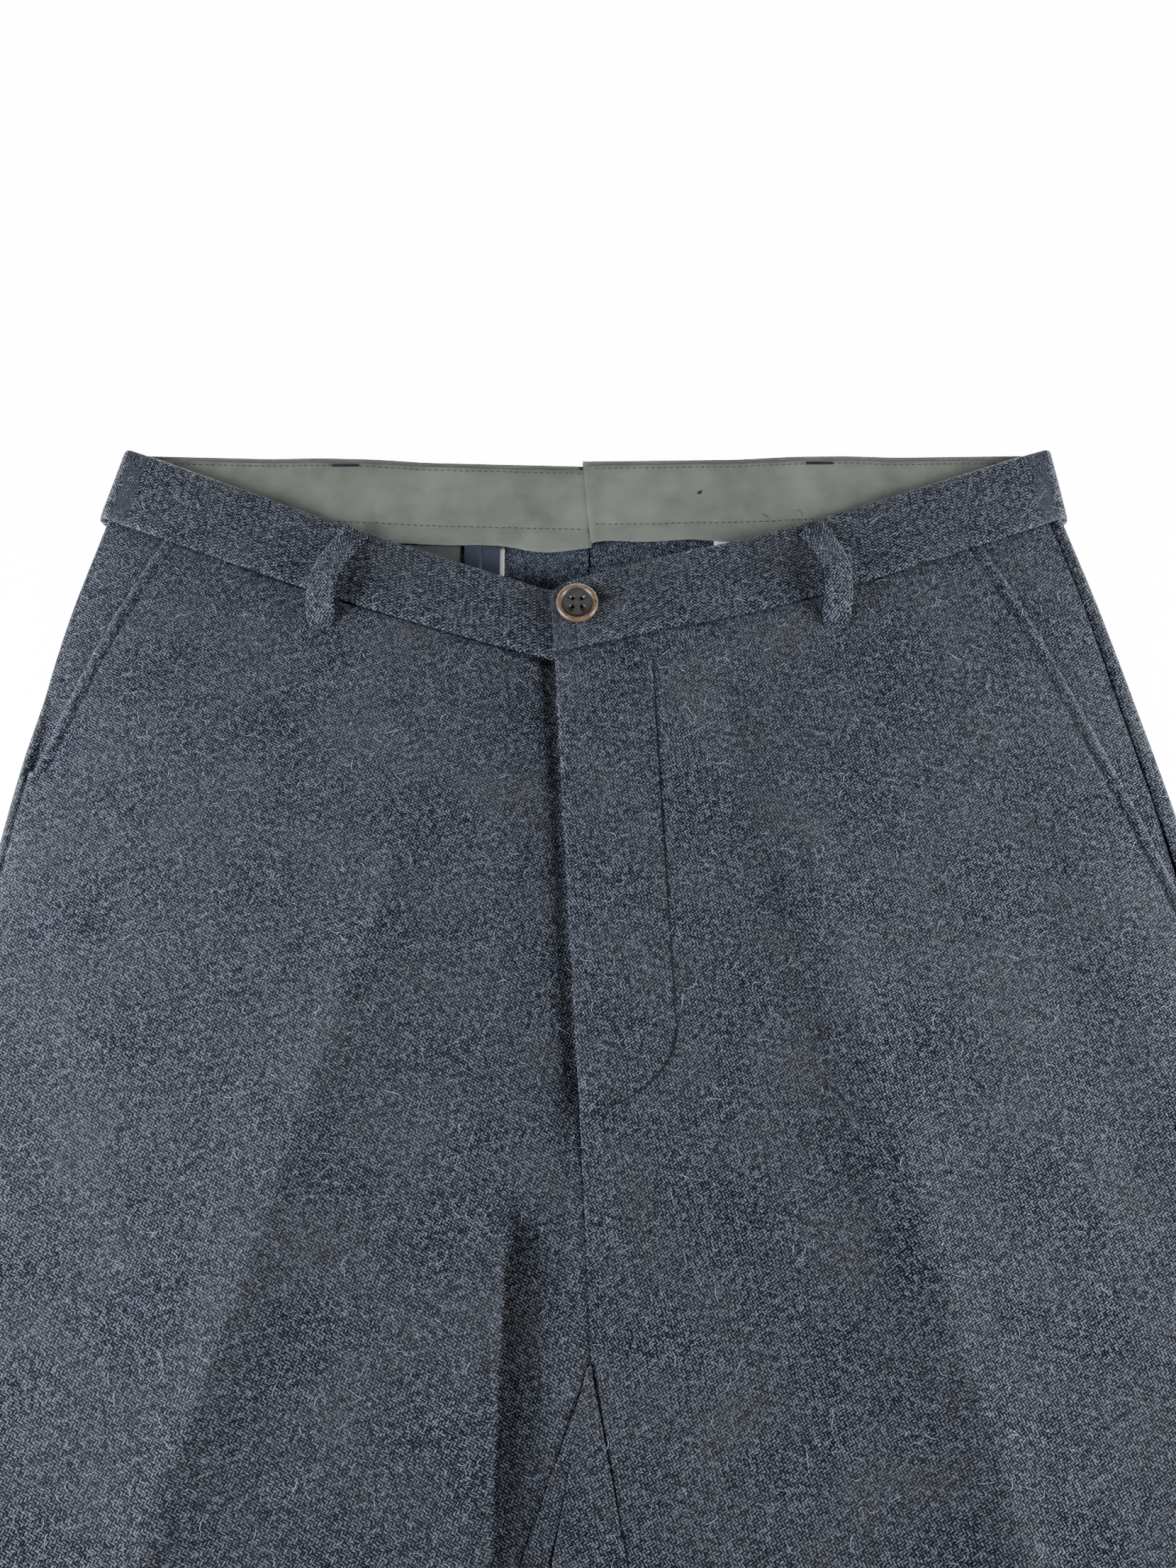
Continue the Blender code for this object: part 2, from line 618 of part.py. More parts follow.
def back_panel(half, collection, material):
    """A back: the underside, the outer fold, and the strip that wraps round the inner fold."""
    rows, _, crotch, fork = half_rows(half)
    points, low, strips = {}, [], []
    for k, row in enumerate(rows):
        keys = []

        def add(key, point):
            points[(k, key)] = point
            keys.append((k, key))

        rolled = row.leg or k == fork
        for i, angle in enumerate(arc_angles(0, -90)):
            if rolled and half is FOLDS_APART:
                add(("flat edge", i), low_point(row, row.low_len - FOLD_R - FOLD_END_GAP - i * EDGE_STEP))
                points[(k, "inner", i)] = inner_point(row, angle)
            elif rolled:
                add(("inner", i), inner_point(row, angle))
            else:
                inset = FOLD_R * (1.0 - math.cos(math.radians(angle)))
                add(("inner", i), low_point(row, row.low_len - inset))
        first, last = FOLD_R, max(FOLD_R, -row.seam + SEAM / 2 if row.seam < 0 else FOLD_R)
        for i, share in enumerate(BACK_FLAT):
            distance = lerp(row.low_len - first, last, share)
            add(("flat", i), low_point(row, distance))
        if row.seam < 0:
            add("under", low_point(row, -row.seam + SEAM / 2))
        else:
            for i, angle in enumerate(arc_angles(-90, 0)[:-1] + arc_angles(0, 90)):
                add(("outer", i), arc_point(row, angle))
            add("seam", top_point(row, row.seam - SEAM / 2))
        low.append(keys)
    for k in range(crotch, len(rows)):
        row, keys = rows[k], []
        if k == crotch:
            tip = own_side(half, lerp2(CROTCH, FORK, TIP_SHARE))
            points[(k, "tip")] = (*tip, front_height(half, *tip))
            strips.append([(k, "tip")] * (3 + ARC_STEPS))
            continue
        for i, share in enumerate((0.0, 0.5)):
            points[(k, "strip", i)] = strip_point(row, share, None)
            keys.append((k, "strip", i))
        for i, angle in enumerate(arc_angles(90, 0)):
            joined = i == ARC_STEPS and (row.leg or k == fork) and half is not FOLDS_APART
            key = (k, ("inner", 0)) if joined else (k, "roll", i)
            if key[1] == "roll":
                points[key] = strip_point(row, None, angle)
            keys.append(key)
        if k == crotch + 1:
            keys = [keys[0]] + [keys[1]] * (len(keys) - 2) + [keys[-1]]
        if half is FOLDS_APART and k >= fork:
            keys += [(k, "inner", i) for i in range(1, ARC_STEPS + 1)]
        strips.append(keys)
    shift_row(points, low[0], -SEAM)
    if half is FOLDS_APART:
        sheet(f"back_fold_{half.name}", collection, [strips], points, WOOL, material,
              flip=half is LEFT)
        return sheet(f"back_panel_{half.name}", collection, [low], points, WOOL, material,
                     flip=half is LEFT)
    return sheet(f"back_panel_{half.name}", collection, [low, strips], points, WOOL, material,
                 flip=half is LEFT)


def band_front_y(half, x, upper):
    """Edge lines of the front waistband, from the fly to the side."""
    start_x, start = (FLY_TOP_X, FRONT_TOP_Y) if upper else (FLY_WAIST_X, half.front_waist_y)
    end_x, end = (half.band_top_x, SIDE_TOP_Y) if upper else (abs(side_x(half, SIDE_WAIST_Y)),
                                                              SIDE_WAIST_Y)
    share = min(1.0, max(0.0, (x - start_x) / (half.sign * end_x - start_x)))
    sag = half.top_sag if upper else half.sag
    return lerp(start, end, share - sag * math.sin(math.pi * share))


def band_back_y(half, x, upper):
    """Edge lines of the back waistband: a little lower in the middle than at the sides."""
    share = min(1.0, abs(x) / half.band_top_x)
    if upper:
        return lerp(half.back_waist_y + BAND_WIDTH, BACK_SIDE_TOP_Y, share)
    return lerp(half.back_waist_y, SIDE_WAIST_Y, share)


def band_front_z(half, x, from_fold):
    rise = 1.0 - math.exp(-max(0.0, from_fold - BAND_FOLD_R) / BAND_RISE)
    z = lerp(2 * BAND_FOLD_R, BAND_TOP, rise)
    if half is RIGHT:
        z += BAND_LIFT * (1.0 - smooth(x - FLY_WAIST_X, *FLY_LIFT_X))
    return z


BAND_ACROSS = (0.0, 0.5, 1.0)
BAND_FRONT = (0.0, 0.07, 0.15, 0.24, 0.33, 0.42, 0.52, 0.62, 0.72, 0.81, 0.89, 0.95, 1.0)
BAND_BACK = (0.0, 0.06, 0.14, 0.25, 0.34, 0.44, 0.475, 0.53, 0.565, 0.66, 0.78, 0.90, 1.0)


def waistband(half, collection, material):
    """Half the waistband: from the fly, round the side fold, to the centre back seam."""
    points, grid = {}, []
    sides = (half.band_top_x, half.band_low_x)
    underlap = BAND_UNDERLAP if half is LEFT else 0.0
    fly_ends = (FLY_TOP_X + underlap, FLY_WAIST_X + underlap)
    centre_back = (BACK_TOP_X, BACK_WAIST_X)

    def add(station, spots):
        keys = []
        for share in BAND_ACROSS:
            x, y, z = (lerp(a, b, share) for a, b in zip(*spots))
            points[(station, share)] = (x, y, z)
            keys.append((station, share))
        grid.append(keys)

    for i, share in enumerate(BAND_FRONT):
        spots = []
        for upper, side, fly_end in zip((True, False), sides, fly_ends):
            x = lerp(fly_end, half.sign * (side - BAND_FOLD_R), share)
            gap = 0.0 if upper else SEAM / 2
            y = band_front_y(half, x, upper) + gap
            spots.append((x, y, band_front_z(half, x, side - abs(x) if x * half.sign > 0 else side)))
        add(("front", i), spots)
    for i, angle in enumerate(arc_angles(90, 0)[1:] + arc_angles(0, -90)[1:-1]):
        spots = []
        for upper, side in zip((True, False), sides):
            inset = BAND_FOLD_R * (1.0 - math.cos(math.radians(angle)))
            x = half.sign * (side - inset)
            share = (90 - angle) / 180
            y = lerp(band_front_y(half, x, upper), band_back_y(half, x, upper), share)
            taper = BAND * (sides[1] - sides[0]) / BAND_WIDTH * math.cos(math.radians(angle))
            gap = 0.0 if upper else SEAM / 2 + taper
            spots.append((x, y + gap, BAND_FOLD_R * (1.0 + math.sin(math.radians(angle)))))
        add(("fold", i), spots)
    for i, share in enumerate(BAND_BACK):
        spots = []
        for upper, side, middle in zip((True, False), sides, centre_back):
            middle += half.sign * SEAM / 2
            x = lerp(middle, half.sign * (side - BAND_FOLD_R), 1.0 - share)
            gap = 0.0 if upper else SEAM / 2
            spots.append((x, band_back_y(half, x, upper) + gap, 0.0))
        spots = [(x, y, back_raise(x, y)) for x, y, z in spots]
        add(("back", i), spots)
    piece = sheet(f"waistband_{half.name}", collection, [grid], points, BAND, material,
                  flip=half is LEFT)
    edge = piece.modifiers.new("turned edge", "BEVEL")
    edge.width = 0.0012
    edge.segments = 2
    edge.limit_method = "ANGLE"
    edge.angle_limit = math.radians(50)
    return piece


CURTAIN_SHARES = (0.0, 0.06, 0.13, 0.20, 0.28, 0.36, 0.45, 0.53, 0.62, 0.72, 0.86, 1.0)


# Across the curtain: share of its drop, where its centre seam runs, and its lift off the band.
CURTAIN_ROWS = ((0.0, -2.2, 0.0), (0.5, -0.4, 0.0), (0.82, 0.7, 0.5), (1.0, 1.6, 0.5))


def curtain_bottom(x):
    """The lower edge of the curtain, slightly wavy."""
    return 1.1 * math.sin(x / 13.0) + 0.8 * math.sin(x / 7.3 + 1.0)


def curtain(half, collection, material):
    """The lining strip on the inside of the back waistband."""
    points, grid = {}, []
    for i, share in enumerate(CURTAIN_SHARES):
        keys = []
        for j, (drop, middle, lift) in enumerate(CURTAIN_ROWS):
            x = lerp(middle + half.sign * SEAM / 2, half.sign * CURTAIN_SIDE_X, share)
            top = band_back_y(half, x, True) - CURTAIN_TOP_GAP
            y = top - drop * half.curtain_drop + (curtain_bottom(x) if drop == 1.0 else 0.0)
            z = back_raise(x, y) + BAND + SLIP + LINING + lift
            points[(i, j)] = (x, y, z)
            keys.append((i, j))
        grid.append(keys)
    return sheet(f"curtain_{half.name}", collection, [grid], points, LINING, material,
                 flip=half is LEFT)


def loop_piece(line, collection, material, height, bow, stations):
    """A belt loop: a narrow strip along a bent centre line, bowed up off what it is sewn to."""
    points, grid = {}, []
    for i in range(stations + 1):
        t = i / stations
        x = (1 - t) ** 2 * line.x0 + 2 * t * (1 - t) * line.x1 + t * t * line.x2
        y = (1 - t) ** 2 * line.y0 + 2 * t * (1 - t) * line.y1 + t * t * line.y2
        dx = 2 * (1 - t) * (line.x1 - line.x0) + 2 * t * (line.x2 - line.x1)
        dy = 2 * (1 - t) * (line.y1 - line.y0) + 2 * t * (line.y2 - line.y1)
        run = math.hypot(dx, dy)
        rise = bow * math.sin(math.pi * smooth(t, 0.04, 0.96)) ** 0.8 if 0.04 < t < 0.96 else 0.0
        z = height(x, y, t) + rise
        keys = []
        for j, side in enumerate((-0.5, 0.0, 0.5)):
            off = side * LOOP_WIDTH
            points[(i, j)] = (x - dy / run * off, y + dx / run * off, z + LOOP)
            keys.append((i, j))
        grid.append(keys)
    return sheet(line.name, collection, [grid], points, LOOP, material, flip=True)


def front_loop_base(line):
    """Height of the surface that a front loop is sewn to, from its upper to its lower end."""
    half = LEFT if line.x0 < 0 else RIGHT
    seat = CLEAR + 0.1

    def height(x, y, t):
        band = band_front_z(half, x, 100.0)
        panel = front_height(half, x, y)
        return max(band, panel) * (1.0 - smooth(t, 0.74, 0.90)) + panel * smooth(t, 0.74, 0.90) + seat
    return height


def belt_loops(collection, material):
    for line in FRONT_LOOPS:
        loop_piece(line, collection, material, front_loop_base(line), LOOP_BOW, 14)
    for line in BACK_LOOPS:
        loop_piece(line, collection, material, lambda x, y, t: 0.0, 0.0, 2)


def turned(name, collection, profile, steps_round, material):
    """A profile in X and Z turned about Z."""
    mesh = bpy.data.meshes.new(name)
    verts = [(x / 1000.0, 0.0, z / 1000.0) for x, z in profile]
    mesh.from_pydata(verts, [(i, i + 1) for i in range(len(verts) - 1)], [])
    mesh.materials.append(material)
    piece = bpy.data.objects.new(name, mesh)
    collection.objects.link(piece)
    screw = piece.modifiers.new("turn", "SCREW")
    screw.steps = screw.render_steps = steps_round
    screw.use_merge_vertices = True
    screw.merge_threshold = 0.00001
    screw.use_smooth_shade = True
    return piece


def button(collection, cutters, material):
    """The waist button, with a rolled rim round a dished face."""
    top, rim = BUTTON_THICK, BUTTON_R
    profile = [(0.0, top - BUTTON_DISH), (BUTTON_FACE_R - 0.9, top - BUTTON_DISH),
               (BUTTON_FACE_R, top - 0.35), (BUTTON_FACE_R + 0.6, top), (rim - 0.5, top - 0.25),
               (rim, top - 0.9), (rim - 0.3, 1.3), (rim - 1.6, 0.4), (rim - 3.6, 0.0), (0.0, 0.0)]
    piece = turned("button", collection, profile, 28, material)
    base = band_front_z(RIGHT, BUTTON_X, 200.0) + SLIP
    piece.location = to_part((BUTTON_X, BUTTON_Y, base))
    spot = BUTTON_HOLE_PITCH / 2
    for i, (sx, sy) in enumerate(((-1, -1), (1, -1), (-1, 1), (1, 1))):
        bpy.ops.mesh.primitive_cylinder_add(
            vertices=10, radius=BUTTON_HOLE_R / 1000.0, depth=3 * BUTTON_THICK / 1000.0,
            location=to_part((BUTTON_X + sx * spot, BUTTON_Y + sy * spot, base)))
        cutter = bpy.context.object
        cutter.name = f"cut_button_{i}"
        for owner in list(cutter.users_collection):
            owner.objects.unlink(cutter)
        cutters.objects.link(cutter)
        cutter.hide_render = True
        cutter.display_type = "WIRE"
        cut = piece.modifiers.new(f"hole {i}", "BOOLEAN")
        cut.operation = "DIFFERENCE"
        cut.object = cutter
    return piece


# Small pieces seen inside the back: upper and lower edge from left to right, and the level of
# their underside over the back's inner face.
InsidePiece = namedtuple("InsidePiece", "name top_y top_x0 top_x1 low_y low_x0 low_x1 level colour")
CREAM = (0.62, 0.60, 0.54)
BINDING = (0.040, 0.043, 0.060)
INSIDE_PIECES = [
    InsidePiece("pocketing", 336, -130.0, -55.4, 262, -124.0, -57.0, 0.0, LINING_COLOUR),
    InsidePiece("pocket_cloth", 336, -54.8, -37.0, 262, -56.4, -36.6, 0.0, CREAM),
    InsidePiece("seam_binding_outer", 336, -54.8, -47.1, 262, -56.3, -48.6, 1.0, BINDING),
    InsidePiece("seam_binding_inner", 336, -46.7, -38.9, 262, -46.2, -38.4, 1.0, BINDING),
    InsidePiece("blank_tag", 340, 56.0, 84.0, 300, 56.0, 84.0, 0.0, (0.80, 0.80, 0.78)),
]
INSIDE_FADE = 56.0       # they come down from the raised places more gently than the back does
INSIDE_STEPS = 6


def inside_piece(row, collection, material):
    """A thin piece that lies on the inside of the back."""
    points, grid = {}, []
    for i in range(INSIDE_STEPS + 1):
        down = i / INSIDE_STEPS
        keys = []
        for j in range(INSIDE_STEPS + 1):
            left = lerp(row.top_x0, row.low_x0, down)
            right = lerp(row.top_x1, row.low_x1, down)
            x, y = lerp(left, right, j / INSIDE_STEPS), lerp(row.top_y, row.low_y, down)
            z = WOOL + back_raise(x, y, INSIDE_FADE) + (SLIP + LINING) * (1.0 + row.level)
            points[(i, j)] = (x, y, z)
            keys.append((i, j))
        grid.append(keys)
    return sheet(row.name, collection, [grid], points, LINING, material, flip=True)


def main():
    clear_scene()
    set_origin()
    garment = new_collection(GARMENT)
    cutters = new_collection("cutters")
    for half in HALVES:
        for make, label in ((front_panel, "front"), (pocket_facing, "facing"),
                            (back_panel, "back"), (waistband, "band")):
            make(half, garment, finish(f"wool_{label}_{half.name}", WOOL_COLOUR, 0.95))
        curtain(half, garment, finish(f"curtain_{half.name}", LINING_COLOUR, 0.8))
    belt_loops(garment, finish("wool_loops", WOOL_COLOUR, 0.95))
    button(garment, cutters, finish("button_horn", (0.13, 0.085, 0.06), 0.35))
    for row in INSIDE_PIECES:
        inside_piece(row, garment, finish(row.name, row.colour, 0.8))


main()
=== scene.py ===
# %% [markdown]
# Wool trousers laid flat
#
# This lesson dresses a pair of dark wool trousers that lie on a pale table, front up. The solids of
# the garment already exist as a fixed frame. Each step below makes one visible part of the real
# thing around that frame: a finer skin of cloth, its seams and stitches, the lining inside the
# waist, the button, and the loose fibres that make wool look like wool.

# %% Load the frame
import json
import math
import random
from collections import namedtuple

import bmesh
import bpy
import numpy as np
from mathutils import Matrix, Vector, noise
from mathutils.bvhtree import BVHTree

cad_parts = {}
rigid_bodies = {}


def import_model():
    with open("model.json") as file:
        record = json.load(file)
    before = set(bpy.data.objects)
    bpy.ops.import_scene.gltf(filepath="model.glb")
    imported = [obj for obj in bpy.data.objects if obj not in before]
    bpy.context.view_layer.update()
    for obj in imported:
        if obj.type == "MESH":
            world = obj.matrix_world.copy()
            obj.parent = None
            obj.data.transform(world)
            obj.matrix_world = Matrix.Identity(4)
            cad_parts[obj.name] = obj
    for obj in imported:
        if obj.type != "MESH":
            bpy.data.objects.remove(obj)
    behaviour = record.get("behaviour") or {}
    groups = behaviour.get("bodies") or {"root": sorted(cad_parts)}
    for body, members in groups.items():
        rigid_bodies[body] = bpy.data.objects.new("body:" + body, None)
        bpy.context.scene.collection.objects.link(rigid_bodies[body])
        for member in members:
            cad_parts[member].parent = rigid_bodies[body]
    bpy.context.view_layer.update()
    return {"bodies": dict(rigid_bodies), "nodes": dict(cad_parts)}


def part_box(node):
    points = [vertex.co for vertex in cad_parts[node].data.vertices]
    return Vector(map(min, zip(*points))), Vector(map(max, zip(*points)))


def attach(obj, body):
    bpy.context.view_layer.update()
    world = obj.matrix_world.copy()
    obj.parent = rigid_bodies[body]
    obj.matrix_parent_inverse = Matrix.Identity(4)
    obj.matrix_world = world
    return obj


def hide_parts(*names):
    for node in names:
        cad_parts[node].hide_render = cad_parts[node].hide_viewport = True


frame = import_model()
BODY = next(iter(frame["bodies"]))
print("body", BODY, "nodes", len(frame["nodes"]))

# %% [markdown]
# A tailor measures the garment as it lies: X to the right of the centre seam, Y from the crotch up
# towards the waist, Z off the table, all in millimetres. Working in that system keeps every size
# readable. One known point is enough to tie it to the frame, and the button is the handiest.

# %% Lay-out millimetres to the frame's metres
BUTTON_X, BUTTON_Y = -4.6, 299.5
button_low, button_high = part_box("button")
ORIGIN = ((button_low + button_high) / 2) - Vector((BUTTON_X, BUTTON_Y, 0.0)) / 1000
ORIGIN.z = 0.0
BUTTON_SEAT = button_low.z * 1000


def place(x, y, z):
    """A spot of the lay-out in the frame's metres."""
    return Vector((x, y, z)) / 1000 + ORIGIN


print("centre seam at", tuple(round(v, 4) for v in ORIGIN))

# %% [markdown]
# The camera comes before the cloth, because it decides how fine the cloth has to be. The photo
# looks down at 70 degrees from about 60 cm above the table, and its frame cuts off the sides of
# the hips and everything below the crotch.

# %% Camera
CAMERA_HEIGHT = 617.8
CAMERA_PITCH = 70.0
PHOTO_FOCAL = 2200.0
PHOTO_LONG_SIDE = 2212.0
SENSOR = 36.0

camera_data = bpy.data.cameras.new("camera")
camera_data.sensor_width = SENSOR
camera_data.lens = SENSOR * PHOTO_FOCAL / PHOTO_LONG_SIDE
camera_data.clip_start = 0.01
camera = bpy.data.objects.new("camera", camera_data)
bpy.context.scene.collection.objects.link(camera)
camera.location = place(0.0, 0.0, CAMERA_HEIGHT)
camera.rotation_euler = (math.radians(90.0 - CAMERA_PITCH), 0.0, 0.0)
bpy.context.scene.camera = camera

# %% [markdown]
# The light in the photo comes from two big soft lamps, one on each side. They leave the outer
# sides of the hips and the outer slopes of the creases bright and cold, and the middle dim. A weak
# lamp overhead and a pale room keep the shadows open. Two more lamps light the lower legs, which
# the photo leaves out and other views show.

# %% Lights
Lamp = namedtuple("Lamp", "name x y z width height power colour aim_y")
LAMPS = [
    Lamp("left", -590, 80, 130, 250, 800, 21.2, (0.79, 0.87, 1.0), 80),
    Lamp("right", 660, 130, 130, 250, 800, 20.5, (0.82, 0.9, 1.0), 80),
    Lamp("overhead", 0, 900, 1300, 700, 700, 3.1, (1.0, 0.97, 0.92), 80),
    Lamp("left_leg", -740, -720, 190, 250, 400, 3.4, (0.79, 0.87, 1.0), -640),
    Lamp("right_leg", 780, -720, 190, 250, 400, 3.4, (0.82, 0.9, 1.0), -640),
]
ROOM_LIGHT = 0.02

for lamp in LAMPS:
    data = bpy.data.lights.new(lamp.name, "AREA")
    data.shape = "RECTANGLE"
    data.size = lamp.width / 1000
    data.size_y = lamp.height / 1000
    data.energy = lamp.power
    data.color = lamp.colour
    light = bpy.data.objects.new(lamp.name, data)
    bpy.context.scene.collection.objects.link(light)
    light.location = place(lamp.x, lamp.y, lamp.z)
    aim = place(0, lamp.aim_y, 0) - light.location
    light.rotation_euler = aim.to_track_quat("-Z", "Y").to_euler()

print("lamps", len(LAMPS), "with", sum(lamp.power for lamp in LAMPS), "W in all")

world = bpy.data.worlds.new("room")
bpy.context.scene.world = world
world.use_nodes = True
world.node_tree.nodes["Background"].inputs["Color"].default_value = (1.0, 0.98, 0.95, 1.0)
world.node_tree.nodes["Background"].inputs["Strength"].default_value = ROOM_LIGHT

# %% [markdown]
# Shader maths reads best as plain expressions. This small class wraps a node's socket, so that
# adding or multiplying two of them adds the Math node that does it, and one method makes any other
# node from its type, its settings and the values of its sockets.

# %% Sockets as numbers
class Link:
    """A shader socket that can be used in Python expressions."""

    def __init__(self, nodes, socket):
        self.nodes = nodes
        self.socket = socket

    def math(self, operation, *others):
        return self.nodes.make("Math", {"operation": operation}, dict(enumerate((self, *others))))

    def __add__(self, other):
        return self.math("ADD", other)

    def __sub__(self, other):
        return self.math("SUBTRACT", other)

    def __rsub__(self, other):
        return self.nodes.make("Math", {"operation": "SUBTRACT"}, {0: other, 1: self})

    def __mul__(self, other):
        return self.math("MULTIPLY", other)

    def __truediv__(self, other):
        return self.math("DIVIDE", other)

    def __pow__(self, other):
        return self.math("POWER", other)

    def clamped(self):
        return self.math("MINIMUM", 1.0).math("MAXIMUM", 0.0)

    __radd__ = __add__
    __rmul__ = __mul__


# %% [markdown]
# The second class holds a material. It names the few settings that are the same all over, such as
# its sheen, and has a method for each node that comes back often: noise, a blend of two colours,
# the place on the cloth. What changes over the surface ends in the colour, the roughness or a bump.

# %% The nodes of one material
class Nodes:
    """The node tree of one material."""

    def __init__(self, name, roughness=0.9, emission=None, **fixed):
        self.material = bpy.data.materials.new(name)
        self.material.use_nodes = True
        self.tree = self.material.node_tree
        self.shader = self.tree.nodes["Principled BSDF"]
        self.shader.inputs["Roughness"].default_value = roughness
        for key, value in fixed.items():
            self.shader.inputs[key.replace("_", " ")].default_value = value
        if emission:
            self.shader.inputs["Emission Color"].default_value = (1.0, 1.0, 1.0, 1.0)
            self.shader.inputs["Emission Strength"].default_value = emission

    def make(self, kind, settings, values, output=0):
        node = self.tree.nodes.new("ShaderNode" + kind)
        for key, value in settings.items():
            if key == "stops":
                self.fill_ramp(node.color_ramp, value)
            else:
                setattr(node, key, value)
        for key, value in values.items():
            self.put(node.inputs[key], value)
        return Link(self, node.outputs[output])

    def put(self, socket, value):
        if isinstance(value, Link):
            self.tree.links.new(value.socket, socket)
        else:
            socket.default_value = value

    def fill_ramp(self, ramp, stops):
        while len(ramp.elements) < len(stops):
            ramp.elements.new(0.5)
        for element, (position, colour) in zip(ramp.elements, stops):
            element.position = position
            element.color = (*colour, 1.0)

    def mix(self, factor, a, b):
        """Blend two colours."""
        return self.make("Mix", {"data_type": "RGBA"}, {0: factor, 6: a, 7: b}, output=2)

    def clouds(self, vector, scale, detail=2.0, output=0, **more):
        """Noise: soft clumps, finer as the scale grows."""
        values = {"Vector": vector, "Scale": scale, "Detail": detail, **more}
        return self.make("TexNoise", {}, values, output=output)

    def in_space(self):
        """The spot's place in space, for things with no cloth coordinates."""
        return self.make("TexCoord", {}, {}, output=3)

    def on_cloth(self):
        """The spot's place on the flat cloth, in metres."""
        return self.make("UVMap", {"uv_map": "UVMap"}, {})

    def split(self, vector):
        node = self.tree.nodes.new("ShaderNodeSeparateXYZ")
        self.put(node.inputs[0], vector)
        return [Link(self, socket) for socket in node.outputs]

    def finish(self, colour=None, rough=None, height=None, depth=0.001, strength=1.0):
        if colour is not None:
            self.put(self.shader.inputs["Base Color"], colour)
        if rough is not None:
            self.put(self.shader.inputs["Roughness"], rough)
        if height is not None:
            bump = self.make("Bump", {}, {"Height": height, "Distance": depth,
                                          "Strength": strength})
            self.put(self.shader.inputs["Normal"], bump)
        return self.material


# %% Colours
def rgb(red, green, blue):
    """A colour from the 0 to 255 numbers of a colour picker, as the linear light a shader uses."""
    line = [(v / 255 / 12.92) if v <= 10 else ((v / 255 + 0.055) / 1.055) ** 2.4
            for v in (red, green, blue)]
    return (*line, 1.0)


# %% [markdown]
# The wool is a broken twill: short floats that lean one way in one band of picks and the other way
# in the next, so that the cloth shows tiny hooks and dashes instead of long diagonal ribs. It has
# been brushed, which blurs the floats and gathers the fibres in darker and lighter clumps. All this
# is 1 to 2 mm across, too fine for geometry, so it is worked out from the cloth's own UV
# coordinates, which here are metres on the flat cloth.

# %% Wool
STROKE = 0.00145          # from one float of yarn to the next, along a band of the weave
BAND_OF_WEAVE = 0.00135   # height of a band, in which all floats lean the same way
FLECK = 0.0019            # a clump of brushed fibres
YARN_WANDERS = (0.0011, 0.0008, 0.0)   # how far brushing moves a float, along and across


def twill(nodes, cloth):
    """Height of a broken twill, 0 to 1: each band of floats leans against the one before."""
    wobble = nodes.clouds(cloth, 520.0, output=1)
    moved = nodes.make("VectorMath", {"operation": "MULTIPLY_ADD"},
                       {0: wobble, 1: YARN_WANDERS, 2: cloth})
    u, v, _ = nodes.split(moved)
    count = v / BAND_OF_WEAVE
    band = count.math("FLOOR")
    turn = band.math("PINGPONG", 1.0) * 2.0 - 1.0
    within = count.math("FRACT")
    phase = u / STROKE + (within - 0.5) * turn * 0.85 + band * 0.37
    stroke = (phase * math.tau).math("SINE") * 0.5 + 0.5
    across = (within * math.pi).math("SINE")
    return stroke * (across * 0.45 + 0.55)


def wool(name, dark, light, brown, bump=0.0005):
    """Brushed twill, shaded from dark to light, with patches that lean to brown."""
    nodes = Nodes(name, roughness=0.95, Sheen_Weight=0.08, Sheen_Roughness=0.5,
                  Sheen_Tint=rgb(150, 165, 195), Specular_IOR_Level=0.1)
    cloth = nodes.on_cloth()
    weave = twill(nodes, cloth)
    fleck = nodes.clouds(cloth, 1 / FLECK, 4.0, Roughness=0.95)
    patch = nodes.clouds(cloth, 26.0, 3.0)
    wisp = nodes.clouds(cloth, 300.0, Distortion=2.0)
    shade = weave * 1.1 + (fleck - 0.5) * 4.6 + (wisp - 0.5) * 1.6 + (patch - 0.5) * 0.3 - 0.2
    tone = nodes.make("ValToRGB", {"stops": [(0.0, dark[:3]), (0.5, light[:3]),
                                             (1.0, [v * 2.6 for v in light[:3]])]}, {0: shade})
    warm = ((patch - 0.5) * 3.0 + 0.35).clamped()
    colour = nodes.mix(warm * 0.35, tone, brown)
    height = weave * 0.8 + (fleck - 0.5) * 0.6 + (wisp - 0.5) * 0.5
    return nodes.finish(colour, height=height, depth=bump, strength=0.9)


WOOL = wool("wool", rgb(12, 12, 14), rgb(69, 70, 75), rgb(60, 57, 53))
# The wool's inside face, painted lighter than its outer face: painted light for the inside of the
# waist, which the side lamps hardly reach
WOOL_INSIDE_PAINTED_LIGHT = wool("wool_inside_painted_light", rgb(20, 22, 26), rgb(84, 88, 96), rgb(74, 74, 74),
                   bump=0.0009)
print("the wool's material has", len(WOOL.node_tree.nodes), "nodes")

# %% [markdown]
# The waistband's curtain and the pocket's bag are a thin olive cotton. It is a plain fine weave
# with a slight sheen, so the bump is small, and slow noise gives it the marks of wear.

# %% Lining cloths
def cotton(name, base, shadow, thread=0.00045, roughness=0.75, bump=0.00012):
    """Plain weave: warp and weft are two waves, thread is their width in metres."""
    nodes = Nodes(name, roughness=roughness, Sheen_Weight=0.15, Specular_IOR_Level=0.3)
    cloth = nodes.on_cloth()
    u, v, _ = nodes.split(cloth)
    warp, weft = [(way * (2 * math.pi / thread)).math("SINE") for way in (u, v)]
    slub = nodes.clouds(cloth, 90.0, 5.0)
    patch = nodes.clouds(cloth, 22.0)
    worn = (patch - 0.5) * 1.3 + (slub - 0.5) * 1.5 + warp * weft * 0.1 + 0.55
    colour = nodes.mix(worn.clamped(), shadow, base)
    return nodes.finish(colour, height=warp * weft * 0.5 + slub, depth=bump, strength=0.6)


